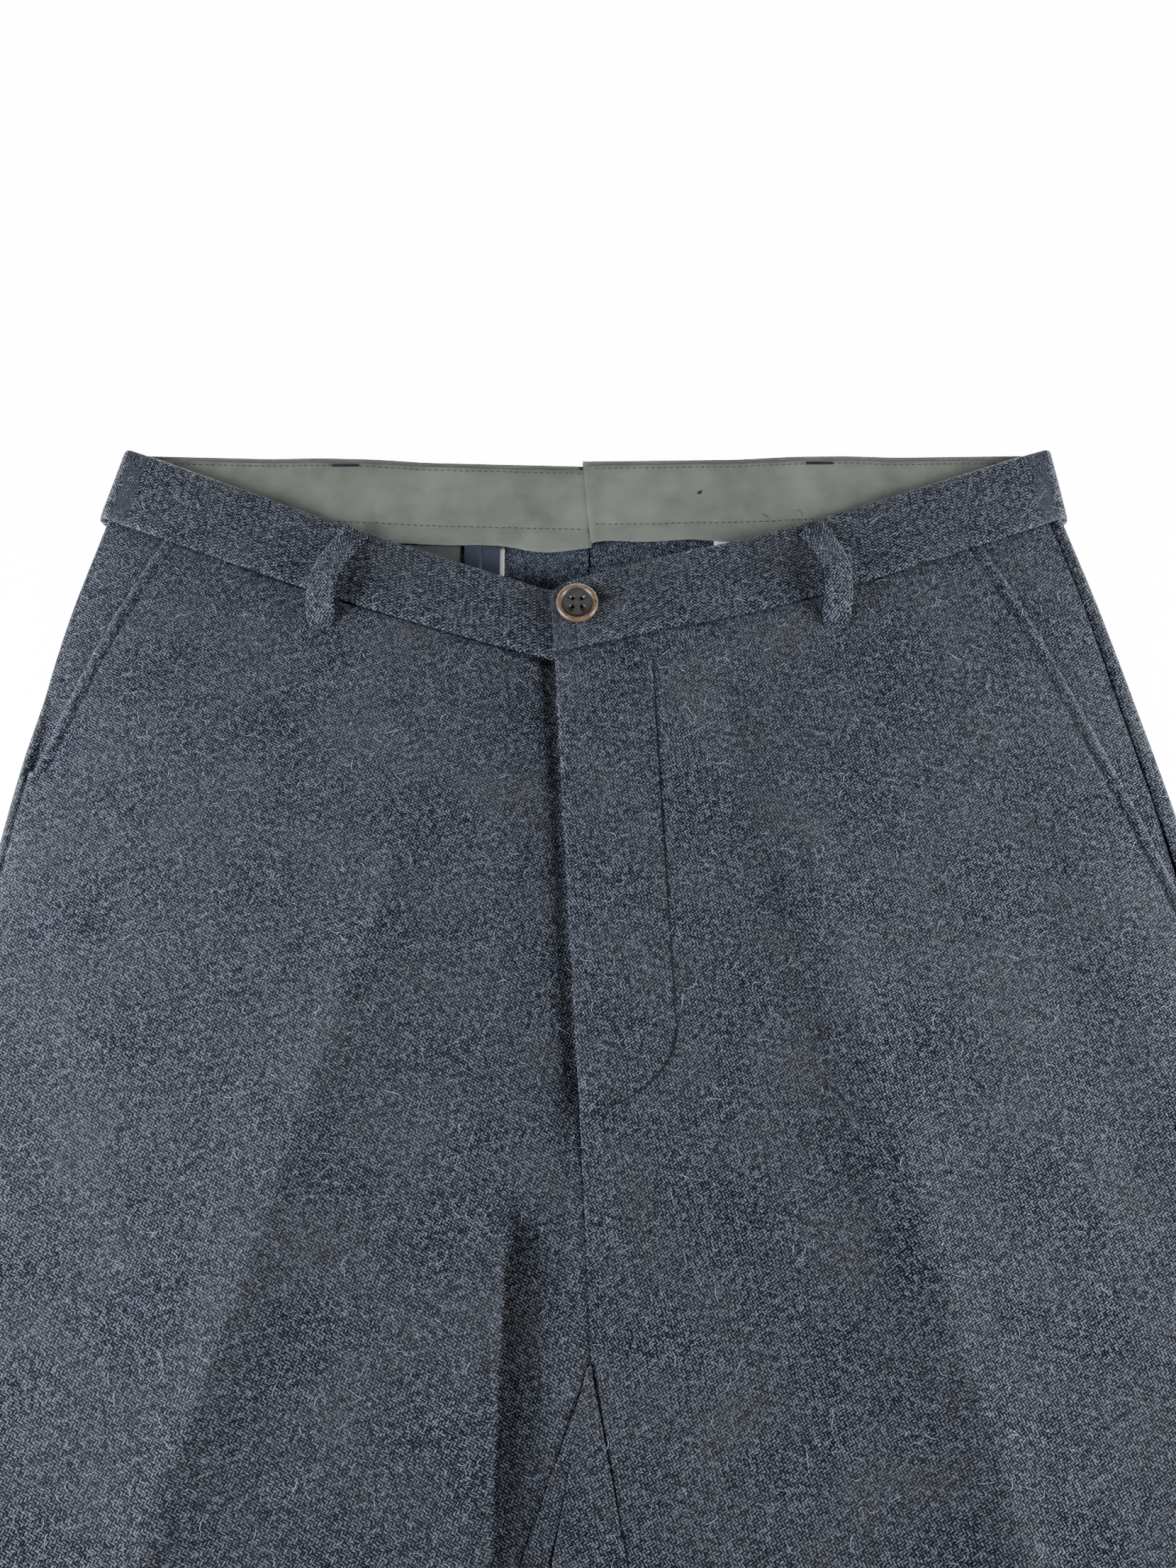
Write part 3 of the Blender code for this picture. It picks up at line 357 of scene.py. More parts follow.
LINING = cotton("olive_cotton", rgb(113, 113, 101), rgb(84, 85, 74))
# A darker copy of the olive cotton, for the pocket bag inside the back: painted shade
LINING_PAINTED_SHADE = cotton("olive_cotton_painted_shade", rgb(84, 86, 78), rgb(66, 68, 64))
CREAM = cotton("cream_cotton", rgb(206, 202, 190), rgb(176, 172, 160))
BINDING = cotton("binding", rgb(52, 54, 66), rgb(38, 40, 50), roughness=0.6)
TAG = cotton("white_ribbon", rgb(232, 234, 234), rgb(208, 210, 212), thread=0.0006)

# %% [markdown]
# Threads, fibres and small marks are too thin to show a weave. They get one colour with a little
# grain in it. The button's horn-like plastic is cloudy, and its coat gives it a soft gloss.

# %% Thread, fibre and button finishes
def plain(name, colour, roughness, **fixed):
    """One colour with a little grain."""
    nodes = Nodes(name, roughness=roughness, **fixed)
    grain = nodes.clouds(nodes.in_space(), 700.0)
    darker = tuple(v * 0.6 for v in colour[:3]) + (1.0,)
    return nodes.finish(nodes.mix(grain, darker, colour), height=grain, depth=0.0001,
                        strength=0.4)


NAVY_THREAD = plain("navy_thread", rgb(24, 26, 34), 0.8)
OLIVE_THREAD = plain("olive_thread", rgb(44, 46, 38), 0.7)
# Near-black painted shadow, laid as strands in the fly's groove and in the buttonhole's slit
PAINTED_GAP_SHADOW = plain("painted_gap_shadow", rgb(8, 8, 10), 0.95)
BUTTON_THREAD = plain("button_thread", rgb(70, 52, 42), 0.7)
PALE_FIBRE = plain("pale_fibre", rgb(178, 186, 196), 0.6)
GREY_FIBRE = plain("grey_fibre", rgb(92, 98, 112), 0.7)
BROWN_MARK = plain("brown_mark", rgb(52, 38, 28), 0.9)
SNAG_THREAD = plain("snag_thread", rgb(150, 150, 134), 0.8)


def horn(name, base, streak, roughness):
    """Cloudy plastic with a soft coat."""
    nodes = Nodes(name, roughness=roughness, Coat_Weight=0.2, Coat_Roughness=0.2)
    spot = nodes.in_space()
    cloud = nodes.clouds(spot, 260.0, 4.0, Distortion=1.5)
    fine = nodes.clouds(spot, 2400.0)
    colour = nodes.mix(((cloud - 0.35) * 2.2).clamped(), base, streak)
    return nodes.finish(colour, rough=fine * 0.3 + roughness - 0.1, height=fine, depth=0.00005,
                        strength=0.4)


HORN_FACE = horn("horn_face", rgb(30, 28, 25), rgb(44, 41, 36), 0.42)
HORN_RIM = horn("horn_rim", rgb(70, 44, 26), rgb(122, 98, 70), 0.36)

# %% [markdown]
# The photo's ground is pure white and shadowless, as in a picture made for a catalogue. A pale
# table that glows a little gives the same, without a second lighting set-up.

# %% Table
TABLE_GLOW = 14.0
TABLE_SIZE = 6.0
TABLE_BELOW = 0.0002      # metres, so that the garment's underside doesn't flicker through it
table_nodes = Nodes("table", roughness=0.9, emission=TABLE_GLOW)
table_grain = table_nodes.clouds(table_nodes.in_space(), 60.0)
TABLE = table_nodes.finish(table_nodes.mix(table_grain, (0.90, 0.90, 0.90, 1.0),
                                           (0.94, 0.94, 0.94, 1.0)))
bpy.ops.mesh.primitive_plane_add(size=TABLE_SIZE, location=(0.0, 0.0, -TABLE_BELOW))
table = bpy.context.object
table.name = "table"
table.data.materials.append(TABLE)

# %% [markdown]
# The garment is two halves, and the halves aren't alike: they were laid down by hand. The tables
# below hold what sets one apart from the other, so that every skin of cloth here lies exactly
# where its solid lies.

# %% Sizes of the two halves
WOOL_THICK = 1.8
BAND_THICK = 4.0
LOOP_THICK = 1.8
LINING_THICK = 1.0
SEAM = -0.3               # the solids stand apart at seams; sewn cloth meets, so the skins overlap
CLEAR = 0.4               # between two layers that lie on each other
SLIP = 0.3                # the same, for thin linings
FOLD_R = 4.0              # the rolled edges of the legs, and of the band
BAND_FOLD_R = 5.5
FOLD_RISE = 18.0          # distance over which the top climbs away from a fold
BAND_RISE = 25.0
BODY_TOP = 12.2
BAND_TOP = 13.8
BAND_WIDTH = 35.0
SIDE_WAIST_Y = 347.0
SIDE_TOP_Y = 383.0
FRONT_TOP_Y = 309.7
BACK_SIDE_TOP_Y = 382.0
BACK_WAIST_X = 1.2
BACK_TOP_X = -2.4
CROTCH = (1.0, -4.0)      # where the four rise and inside-leg seams meet
FORK = (-14.0, -78.0)     # where the inner folds of the legs part
CROTCH_T = 0.80           # share of the body's rows above the crotch
LEG_LENGTH = 694.0
HEM_HALF = 104.0
LEG_TAPER = 1.15
STRIP_HEM = 7.0           # width at the hem of the back's strip beyond the inside seam
FLY_WAIST_X = -14.0
FLY_TOP_X = -16.8
FLY_END = (-3.0, 84.0)
FLY_LAP = 10.0            # how far the under front runs below the upper one
FLY_LAP_END_Y = (98.0, 128.0)
FLY_LIFT = 2.4            # the upper front rides this much higher, and more beside the band
FLY_WAIST_LIFT = 1.7
FLY_LIFT_X = (45.0, 95.0)
FLY_LIFT_Y = (50.0, 96.0)
BAND_LIFT = BAND_THICK + CLEAR
BAND_UNDERLAP = 40.0      # hidden button end of the band
POCKET_UNDER = 25.0       # how far the facing runs below the front
POCKET_FADE = 35.0        # and how slowly the front comes down beyond it
POCKET_SINK = 1.1

Half = namedtuple("Half", "name sign lean inner outer strip seam_waist seam_thigh "
                          "pocket_waist pocket_run pocket_t sag top_sag band_top_x band_low_x "
                          "front_waist_y back_waist_y curtain_drop")
LEFT = Half("left", -1, 17.0, 137.9, 139.2, 12.0, -6.0, -12.0, 31.0, 70.7, 0.34, 0.05, 0.035,
            209.5, 217.4, 276.0, 341.3, 40.5)
RIGHT = Half("right", 1, 14.0, 162.4, 147.3, 29.0, 5.5, 12.5, 40.5, 59.8, 0.51, 0.08, 0.045,
             209.3, 213.6, 278.4, 344.0, 38.5)
HALVES = (LEFT, RIGHT)

print("leg", LEG_LENGTH, "mm from the fork to the hem, which is", 2 * HEM_HALF, "mm wide")

# %% [markdown]
# The outline of the hips is a smooth line through five measured points on each side. The creases
# and folds are what makes laid cloth look laid: each is one line, with the width, height and fade
# of the relief across and along it. A negative height is a trough.

# %% Outline, creases and folds
SidePoint = namedtuple("SidePoint", "y half_width")
SIDE_LINES = {
    "left": [SidePoint(347.0, 215.3), SidePoint(295.7, 227.5), SidePoint(240.0, 236.5),
             SidePoint(214.7, 240.4), SidePoint(120.0, 253.5)],
    "right": [SidePoint(347.0, 211.5), SidePoint(305.0, 222.7), SidePoint(254.0, 234.4),
              SidePoint(214.7, 243.0), SidePoint(120.0, 262.5)],
}
Crease = namedtuple("Crease", "bend_y bend height reach top_y full_y")
CREASES = {
    "left": Crease(225.0, 0.0, 5.0, 22.0, 245.0, 135.0),
    "right": Crease(225.0, 0.003, 6.5, 22.0, 275.0, 155.0),
}
CREASE_ROUND = 0.9        # radius of the pressed edge
CREASE_OUTER = 1.15       # the ridge's outer slope is long and its inner one short
CREASE_INNER = 0.6
CREASE_SHARPER = 2.2      # taller than the coarse solid's, which rounds it off
Fold = namedtuple("Fold", "name x0 y0 x1 y1 half_width height fade")
FOLDS = [
    Fold("right_dimple", 19, 75, 32, 30, 9, -2.5, 18),
    Fold("right_outer_trough", 175, 196, 217, 40, 16, -2.3, 30),
    Fold("left_outer_trough", -228, 156, -206, 71, 14, -1.5, 26),
    Fold("left_of_fly", -28, 262, -16, 95, 12, -2.0, 30),
    Fold("left_of_seam", -9, 78, -7, 10, 5, -1.8, 16),
    Fold("right_inner_trough", 62, 244, 108, 50, 10, -2.8, 34),
]
HOLLOW_WALL_X = (-31.5, -36.0)   # a hollow beside the fork: its wall at the top and at the bottom
HOLLOW_Y = (60.0, -80.0)
HOLLOW_TOP_FADE = (28.0, 64.0)
HOLLOW_LOW_FADE = (-190.0, -100.0)
HOLLOW_DEEP = 11.5
HOLLOW_WALL = (-2.0, 2.4)        # from the wall's top to its foot
HOLLOW_SLOPE = (4.0, 32.0)       # from the foot to where the cloth is level again
HOLLOW_LIP = 2.4                 # the cloth swells a little before the wall
HOLLOW_LIP_R = 8.0
HOLLOW_AT_FOLD = 0.4             # share of a hollow that is left right at the inner fold
LOWEST_FRONT = 2 * WOOL_THICK + CLEAR   # the front never sinks into the back

# %% Belt loops: the ends and the bend of each centre line
LoopLine = namedtuple("LoopLine", "name x0 y0 x1 y1 x2 y2")
FRONT_LOOPS = [
    LoopLine("belt_loop_front_left", -101.0, 337.0, -117.5, 310.0, -114.0, 291.5),
    LoopLine("belt_loop_front_right", 97.5, 338.5, 111.6, 315.0, 105.3, 291.5),
]
BACK_LOOPS = [
    LoopLine("belt_loop_back_left", -109.0, 374.5, -108.6, 350.0, -108.2, 327.5),
    LoopLine("belt_loop_back_right", 104.2, 376.5, 104.0, 352.0, 103.8, 329.5),
]
LOOP_WIDTH = 12.3
LOOP_BOW = 6.8
BACK_RAISE = LOOP_THICK   # the back lies over its loops
RAISE_FADE = 32.0
INSIDE_FADE = 56.0        # thin linings bridge more of the way

# %% [markdown]
# Drafting needs few tools: a share between two points, a soft step, a bell, and a step along a
# direction.

# %% Drafting tools
def lerp(a, b, t):
    return a + (b - a) * t


def lerp2(p, q, t):
    return (lerp(p[0], q[0], t), lerp(p[1], q[1], t))


def smooth(value, low, high):
    """A soft step from 0 at low to 1 at high."""
    t = min(1.0, max(0.0, (value - low) / (high - low)))
    return t * t * (3.0 - 2.0 * t)


def bell(distance, width):
    """1 at no distance, fading to both sides."""
    return math.exp(-(distance / width) ** 2)


def along(point, direction, distance):
    """The point this far from another in a direction."""
    return (point[0] + direction[0] * distance, point[1] + direction[1] * distance)


def unit(p, q):
    """Direction from p to q, and how far it is."""
    dx, dy = q[0] - p[0], q[1] - p[1]
    length = math.hypot(dx, dy)
    return (dx / length, dy / length), length


# %% [markdown]
# The legs splay, so each half has its own outward and downward directions. From them and the
# measured points come the lines of the pattern: the side, the fly, the centre back and the crease.

# %% Lines of the pattern
def outward(half):
    lean = math.radians(half.lean)
    return (half.sign * math.cos(lean), math.sin(lean))


def downward(half):
    lean = math.radians(half.lean)
    return (half.sign * math.sin(lean), -math.cos(lean))


def own_side(half, point):
    """The point moved off the seam's line to its own half's side."""
    return (point[0] + half.sign * SEAM, point[1])


def fork_crease(half):
    return along(own_side(half, FORK), outward(half), half.inner)


def side_x(half, y):
    """The outline of a side: a smooth curve through the measured points."""
    thigh = along(fork_crease(half), outward(half), half.outer)
    rows = SIDE_LINES[half.name] + [SidePoint(thigh[1], abs(thigh[0]))]
    index = 0
    while index < len(rows) - 2 and y < rows[index + 1].y:
        index += 1

    def slope(i):
        low, high = max(0, i - 1), min(len(rows) - 1, i + 1)
        return (rows[high].half_width - rows[low].half_width) / (rows[high].y - rows[low].y)

    a, b = rows[index], rows[index + 1]
    step = b.y - a.y
    t = (y - a.y) / step
    width = ((1 + 2 * t) * (1 - t) ** 2 * a.half_width + t * (1 - t) ** 2 * step * slope(index)
             + t * t * (3 - 2 * t) * b.half_width - t * t * (1 - t) * step * slope(index + 1))
    return half.sign * width


def fly_x(y):
    """The fly's edge, and below its end the seam of the two fronts."""
    if y > FLY_END[1]:
        run = RIGHT.front_waist_y - FLY_END[1]
        return lerp(FLY_END[0], FLY_WAIST_X, (y - FLY_END[1]) / run)
    return lerp(CROTCH[0], FLY_END[0], (y - CROTCH[1]) / (FLY_END[1] - CROTCH[1]))


def back_x(y):
    return lerp(FORK[0], BACK_WAIST_X, (y - FORK[1]) / (SIDE_WAIST_Y - FORK[1]))


def crease_x(half, y):
    x, low = fork_crease(half)
    bend = CREASES[half.name].bend * max(0.0, y - CREASES[half.name].bend_y) ** 2
    return x - half.sign * (math.tan(math.radians(half.lean)) * (y - low) + bend)


def leg_half_width(start, s):
    return HEM_HALF + (start - HEM_HALF) * (1.0 - s) ** LEG_TAPER


# %% [markdown]
# The front is a low pillow between two rolled folds, and creases, folds and the hollow beside the
# fork are soft ridges and troughs added to it. Written as functions of X and Y, the coarse solid
# and the fine skin share one shape.

# %% Height of the cloth
FOLD_LINES = [(fold, *unit((fold.x0, fold.y0), (fold.x1, fold.y1))) for fold in FOLDS]


def fold_relief(x, y):
    """All folds and troughs together at a spot."""
    total = 0.0
    for fold, (dx, dy), length in FOLD_LINES:
        run = (x - fold.x0) * dx + (y - fold.y0) * dy
        off = (x - fold.x0) * dy - (y - fold.y0) * dx
        beyond = max(0.0, -run, run - length)
        reach = (off / fold.half_width) ** 2 + (beyond / fold.fade) ** 2
        if reach < 9.0:
            total += fold.height * math.exp(-reach)
    return total


def hollow_wall(y):
    share = (HOLLOW_Y[0] - y) / (HOLLOW_Y[0] - HOLLOW_Y[1])
    return lerp(*HOLLOW_WALL_X, min(1.5, max(0.0, share)))


def fork_hollow(x, y):
    """Slack cloth beside the fork: a steep wall on its left, then a slow rise to the seam."""
    off = x - hollow_wall(y)
    strength = smooth(y, *HOLLOW_LOW_FADE) * (1.0 - smooth(y, *HOLLOW_TOP_FADE))
    deep = HOLLOW_DEEP * smooth(off, *HOLLOW_WALL) * (1.0 - smooth(off, *HOLLOW_SLOPE))
    return strength * (HOLLOW_LIP * bell(off + HOLLOW_LIP_R, HOLLOW_LIP_R) - deep)


def crease_relief(half, x, y):
    """A pressed ridge, a little steeper on its inner side than on its outer one."""
    crease = CREASES[half.name]
    lean = math.cos(math.radians(half.lean))
    side = (x - crease_x(half, y)) * lean * half.sign
    off = math.hypot(side, CREASE_ROUND) - CREASE_ROUND
    reach = crease.reach * (CREASE_OUTER if side > 0 else CREASE_INNER)
    strength = 1.0 - smooth(y, crease.full_y, crease.top_y)
    return (crease.height + CREASE_SHARPER) * strength * math.exp(-off / reach)


def fly_lift(half, x, y):
    """The upper front rides on the lower one along the fly."""
    if half is LEFT:
        return 0.0
    rise = FLY_LIFT + FLY_WAIST_LIFT * smooth(y, 200.0, 270.0)
    return rise * (1.0 - smooth(x - fly_x(y), *FLY_LIFT_X)) * smooth(y, *FLY_LIFT_Y)


def front_height(half, x, y, from_fold=1e3, from_inner=1e3, blend=0.0):
    """Height of the front's surface, at these distances from its outer and inner folds."""
    outer = 1.0 - math.exp(-max(0.0, from_fold - FOLD_R) / FOLD_RISE)
    inner = 1.0 - blend * math.exp(-max(0.0, from_inner - FOLD_R) / FOLD_RISE)
    base = 2 * FOLD_R + (BODY_TOP - 2 * FOLD_R) * outer * inner
    crease = crease_relief(half, x, y) * outer ** 2 * inner ** 2
    folds = fold_relief(x, y) * outer ** 2 * lerp(HOLLOW_AT_FOLD, 1.0, inner ** 2)
    if half is LEFT:
        folds += fork_hollow(x, y) * lerp(HOLLOW_AT_FOLD, 1.0, inner)
    return max(LOWEST_FRONT, base + crease + folds) + fly_lift(half, x, y)


def back_raise(x, y, fade=RAISE_FADE):
    """How much the back is lifted off the table by the loops under it."""
    total = 0.0
    for loop in BACK_LOOPS:
        dx = max(0.0, abs(x - loop.x1) - LOOP_WIDTH / 2 - 1.5)
        dy = max(0.0, loop.y2 - 3.0 - y)
        total += BACK_RAISE * (1.0 - smooth(math.hypot(dx, dy), 0.0, fade))
    return total


# %% [markdown]
# Cloth is drawn in rows, as a tailor chalks it: a row runs from the outer fold of a half to the
# middle, and the rows follow each other from the waist seam to the hem. Above the fork a row ends
# at the fly or at the back seam, and below it at the inner fold of the leg.

# %% Rows of the garment
Row = namedtuple("Row", "half t leg outer top_dir top_len low_dir low_len blend strip tip "
                        "seam pocket")


def body_row(half, t):
    """A row above the fork, at a share of the way from the waist seam."""
    fork_outer = along(fork_crease(half), outward(half), half.outer)
    y_side = lerp(SIDE_WAIST_Y, fork_outer[1], t)
    outer = (side_x(half, y_side), y_side)
    crotch, fork = own_side(half, CROTCH), own_side(half, FORK)
    seam_fork = along(fork, outward(half), half.strip)
    if t <= CROTCH_T:
        y = lerp(half.front_waist_y, CROTCH[1], t / CROTCH_T)
        inner, blend, tip = (fly_x(y), y), 0.0, None
    else:
        share = (t - CROTCH_T) / (1.0 - CROTCH_T)
        inner = lerp2(crotch, seam_fork, share)
        blend, tip = share ** 1.2, lerp2(crotch, fork, share)
    y_back = lerp(half.back_waist_y, FORK[1], t)
    top_dir, top_len = unit(outer, inner)
    low_dir, low_len = unit(outer, own_side(half, (back_x(y_back), y_back)))
    return Row(half, t, False, outer, top_dir, top_len, low_dir, low_len, blend, half.strip, tip,
               lerp(half.seam_waist, half.seam_thigh, t),
               half.pocket_waist - half.pocket_run * t)


def leg_row(half, s):
    """A row across the leg, at a share of the way from the fork to the hem."""
    out = outward(half)
    middle = along(fork_crease(half), downward(half), LEG_LENGTH * s)
    outer_half = leg_half_width(half.outer, s)
    length = outer_half + leg_half_width(half.inner, s)
    outer = along(middle, out, outer_half)
    direction = (-out[0], -out[1])
    hem_seam = math.copysign(STRIP_HEM, half.seam_thigh)
    return Row(half, 1.0 + s, True, outer, direction, length, direction, length, 1.0,
               lerp(half.strip, STRIP_HEM, s), None, lerp(half.seam_thigh, hem_seam, s), 0.0)


def garment_row(half, t):
    """The row at t: 0 at the waist seam, 1 at the fork and 2 at the hem."""
    return body_row(half, t) if t <= 1.0 else leg_row(half, t - 1.0)


# %% [markdown]
# A point of the garment is a row and a distance along it: on the upper layer, round the rolled
# edge, or on the lower layer. Every skin below is built from these three.

# %% Points on the rows
def waist_sag(row, distance):
    """The waist seam hangs a little between the fly and the side."""
    if row.leg or row.t > 0.25:
        return 0.0
    share = min(1.0, max(0.0, distance / row.top_len))
    drop = SIDE_WAIST_Y - row.half.front_waist_y
    return row.half.sag * drop * math.sin(math.pi * share) * (1.0 - row.t / 0.25) ** 2


def top_point(row, distance, sink=0.0, lift=0.0):
    """A point of the upper layer."""
    x, y = along(row.outer, row.top_dir, distance)
    y -= waist_sag(row, distance)
    from_inner = 1e3
    if row.leg:
        from_inner = row.top_len - distance
    elif row.blend:
        width = math.dist(along(row.outer, row.top_dir, row.top_len), row.tip)
        from_inner = max(0.0, row.top_len - distance) + width
    z = front_height(row.half, x, y, distance, from_inner, row.blend)
    return (x, y, z - sink + lift)


def arc_point(row, angle, sink=0.0):
    """A point of the rolled outer edge: 90 degrees is its top and -90 its underside."""
    direction = row.top_dir if angle > 0 else row.low_dir
    inset = FOLD_R - (FOLD_R - sink) * math.cos(math.radians(angle))
    x, y = along(row.outer, direction, inset)
    return (x, y, FOLD_R + (FOLD_R - sink) * math.sin(math.radians(angle)))


def low_point(row, distance, sink=0.0):
    """A point of the lower layer."""
    x, y = along(row.outer, row.low_dir, distance)
    return (x, y, back_raise(x, y) + sink)


# %% [markdown]
# What a coarse solid can't show is the relief of the sewing: cloth dives into a seam, swells
# beside a line of stitches and dips under it. These are small bells of height, added to the skin
# by the distance from the seam or stitch line.

# %% Relief of the sewing
FLY_STITCH_OFF = (39.5, 41.3)   # from the fly's edge to the stitch line, at the turn and the waist
FLY_STITCH_TURN = 118.4         # y where the line starts to turn into the J
FLY_STITCH_WIDE = 54.6          # half axes of the J's elliptical bend
FLY_STITCH_DEEP = 35.3
FLY_STITCH_SWEEP = 72.0         # degrees of the bend, up to the fly's edge
FLY_END_FADE = 20.0             # the groove beside the fly starts over this much cloth
# How deep cloth dives at each kind of seam or edge, and how far that reaches.
WAIST_SEAM = (1.2, 1.3)
WAIST_SLOPE = (0.5, 6.0)
POCKET_EDGE = (1.3, 0.7)
SIDE_SEAM = (0.9, 1.3)
FLY_EDGE = (1.7, 0.9)
MIDDLE_SEAM = (1.3, 1.3)
MIDDLE_SLOPE = (0.4, 5.0)
STRIP_SEAM = (0.9, 1.2)
POCKET_STITCH = 5.7             # from the pocket's edge to its stitch line
POCKET_TAIL_T = 0.04            # how far the line runs on below the pocket's end


# %% The fly's stitch line
def fly_stitch_path():
    """The J-shaped stitch line that holds the fly's facing, from the waist seam down."""
    path = []
    top, turn = RIGHT.front_waist_y - 1.0, FLY_STITCH_TURN
    for i in range(61):
        y = lerp(turn, top, 1.0 - i / 60)
        path.append((fly_x(y) + lerp(*FLY_STITCH_OFF, 1.0 - i / 60), y))
    for i in range(1, 41):
        angle = math.radians(FLY_STITCH_SWEEP * i / 40)
        x = fly_x(turn) + FLY_STITCH_OFF[0] - FLY_STITCH_WIDE * (1 - math.cos(angle))
        y = turn - FLY_STITCH_DEEP * math.sin(angle)
        path.append((x, y))
    return path


FLY_STITCH = fly_stitch_path()
FLY_STITCH_ARRAY = np.array(FLY_STITCH)
FLY_STITCH_END_Y = FLY_STITCH_TURN - FLY_STITCH_DEEP
print("the fly is stitched down to y", round(FLY_STITCH[-1][1], 1))


def fly_stitch_distance(x, y):
    if y < FLY_STITCH_END_Y - 12 or x > 48 or x < -20:   # too far off to matter
        return 99.0
    gaps = FLY_STITCH_ARRAY - (x, y)
    return float(np.sqrt((gaps ** 2).sum(axis=1).min()))


# %% How sewing shapes the front
def dive(distance, depth, reach):
    """How far cloth has sunk at this distance from a seam."""
    return depth * math.exp(-max(0.0, distance) / reach)


def cushion(x, y):
    """Slow unevenness of cloth that has been worn and pressed."""
    spot = Vector((x / 46, y / 62, 0.3))
    small = Vector((x / 17, y / 21, 5.1))
    return 0.6 * noise.noise(spot) + 0.2 * noise.noise(small)


def front_relief(row, x, y, from_edge, from_inner):
    """What sewing adds to the front, at these distances from its outer and inner edges."""
    half = row.half
    total = cushion(x, y) * smooth(from_edge, 0.0, 25.0) * smooth(from_inner, 0.0, 12.0)
    waist_gap = row.t * ROW_RUN
    total -= dive(waist_gap, *WAIST_SEAM) + dive(waist_gap, *WAIST_SLOPE)
    if row.t < half.pocket_t + POCKET_TAIL_T:
        fade = 1.0 - smooth(row.t, half.pocket_t - 0.01, half.pocket_t + POCKET_TAIL_T)
        groove = bell(from_edge - POCKET_STITCH, 1.2)
        total += fade * (0.6 * bell(from_edge - 2.6, 2.2) - groove)
        total -= fade * dive(from_edge, *POCKET_EDGE)
    if row.t >= half.pocket_t:
        start = smooth(row.t, half.pocket_t, half.pocket_t + 0.02)
        total -= dive(from_edge, *SIDE_SEAM) * start
    if half is RIGHT and y > FLY_END[1]:
        total -= dive(from_inner, *FLY_EDGE)
        total += 0.35 * bell(from_inner - 5.0, 4.0)
    else:
        total -= dive(from_inner, *MIDDLE_SEAM) + dive(from_inner, *MIDDLE_SLOPE)
    if half is RIGHT:
        off = fly_stitch_distance(x, y)
        total -= 1.0 * bell(off, 1.0) + 0.35 * bell(off, 4.5)
    elif y > FLY_END[1] - FLY_END_FADE:
        beside = abs(x - fly_x(y) + 1.0)
        start = smooth(y, FLY_END[1] - FLY_END_FADE, FLY_END[1] + FLY_END_FADE)
        total -= start * (2.6 * bell(beside, 4.5) + 0.8 * bell(beside, 14.0))
    return total


# %% [markdown]
# A skin of cloth is one or more grids of points, welded where they meet and thickened inwards with
# Solidify. Its UVs are metres on the flat cloth, turned so that V runs along the grain, which on
# trousers is the line of the pressed crease. That way the weave turns with each leg.

# %% Skins of cloth
WELD = 2e-6
PIECES = []


def make_cloth(name, grids, thickness, materials, grain=0.0, flip=False):
    """A thick cloth through grids of points: x, y, z and, where they differ, the flat u and v."""
    points, faces, flats = [], [], []
    for grid in grids:
        starts = []
        for row in grid:
            starts.append(len(points))
            points += [place(*spot[:3]) for spot in row]
            flats += [spot[3:5] if len(spot) > 3 else spot[:2] for spot in row]
        for k in range(len(grid) - 1):
            for j in range(min(len(grid[k]), len(grid[k + 1])) - 1):
                a, b = starts[k] + j, starts[k + 1] + j
                quad = (a, a + 1, b + 1, b)
                faces.append(quad[::-1] if flip else quad)
    mesh = bpy.data.meshes.new(name)
    mesh.from_pydata(points, [], faces)
    turn = math.radians(grain)
    u, v = np.array(flats).T / 1000.0
    spun = np.stack([u * math.cos(turn) - v * math.sin(turn),
                     u * math.sin(turn) + v * math.cos(turn)], axis=1)
    index = np.zeros(len(mesh.loops), dtype=np.int32)
    mesh.loops.foreach_get("vertex_index", index)
    mesh.uv_layers.new(name="UVMap").data.foreach_set("uv", spun[index].astype(np.float32).ravel())
    build = bmesh.new()
    build.from_mesh(mesh)
    bmesh.ops.remove_doubles(build, verts=build.verts, dist=WELD)
    build.to_mesh(mesh)
    build.free()
    for material in materials:
        mesh.materials.append(material)
    mesh.shade_smooth()
    piece = bpy.data.objects.new(name, mesh)
    bpy.context.scene.collection.objects.link(piece)
    wall = piece.modifiers.new("cloth", "SOLIDIFY")
    wall.thickness = thickness / 1000.0
    wall.offset = -1.0
    wall.use_even_offset = False
    wall.material_offset = len(materials) - 1
    PIECES.append(piece)
    return piece


def dress(piece, slot, *nodes):
    """Every piece rides on the one body and stands for its nodes, which are hidden. The slot is not
    used.
    """
    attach(piece, BODY)
    if nodes:
        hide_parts(*nodes)
    return piece


# %% [markdown]
# A grid is only as good as its spacing. Columns and rows crowd where cloth dives into a seam or
# under a stitch, and stand wide apart in the calm cloth between.

# %% Spacing of columns and rows
NEAR_EDGE = [0.0, 0.3, 0.7, 1.2, 1.9, 2.8, 3.9, 5.0, 5.7, 6.4, 7.6]
NEAR_LINE = [-2.2, -1.5, -1.0, -0.5, 0.0, 0.5, 1.0, 1.5, 2.2]
BESIDE_LINE = 12          # columns between a line and the edge after it


def graded(length, count, line=None):
    """Distances from 0 to length, close together near both ends and near a sewn line, if any."""
    low, high = NEAR_EDGE[-1], length - NEAR_EDGE[-1]
    if line is None:
        middle = [lerp(low, high, i / count) for i in range(1, count)]
    else:
        before, after = line + NEAR_LINE[0], line + NEAR_LINE[-1]
        wide = count - BESIDE_LINE
        middle = [lerp(low, before, i / wide) for i in range(1, wide)]
        middle += [line + gap for gap in NEAR_LINE]
        middle += [lerp(after, high, i / BESIDE_LINE) for i in range(1, BESIDE_LINE)]
    return NEAR_EDGE + middle + [length - gap for gap in reversed(NEAR_EDGE)]


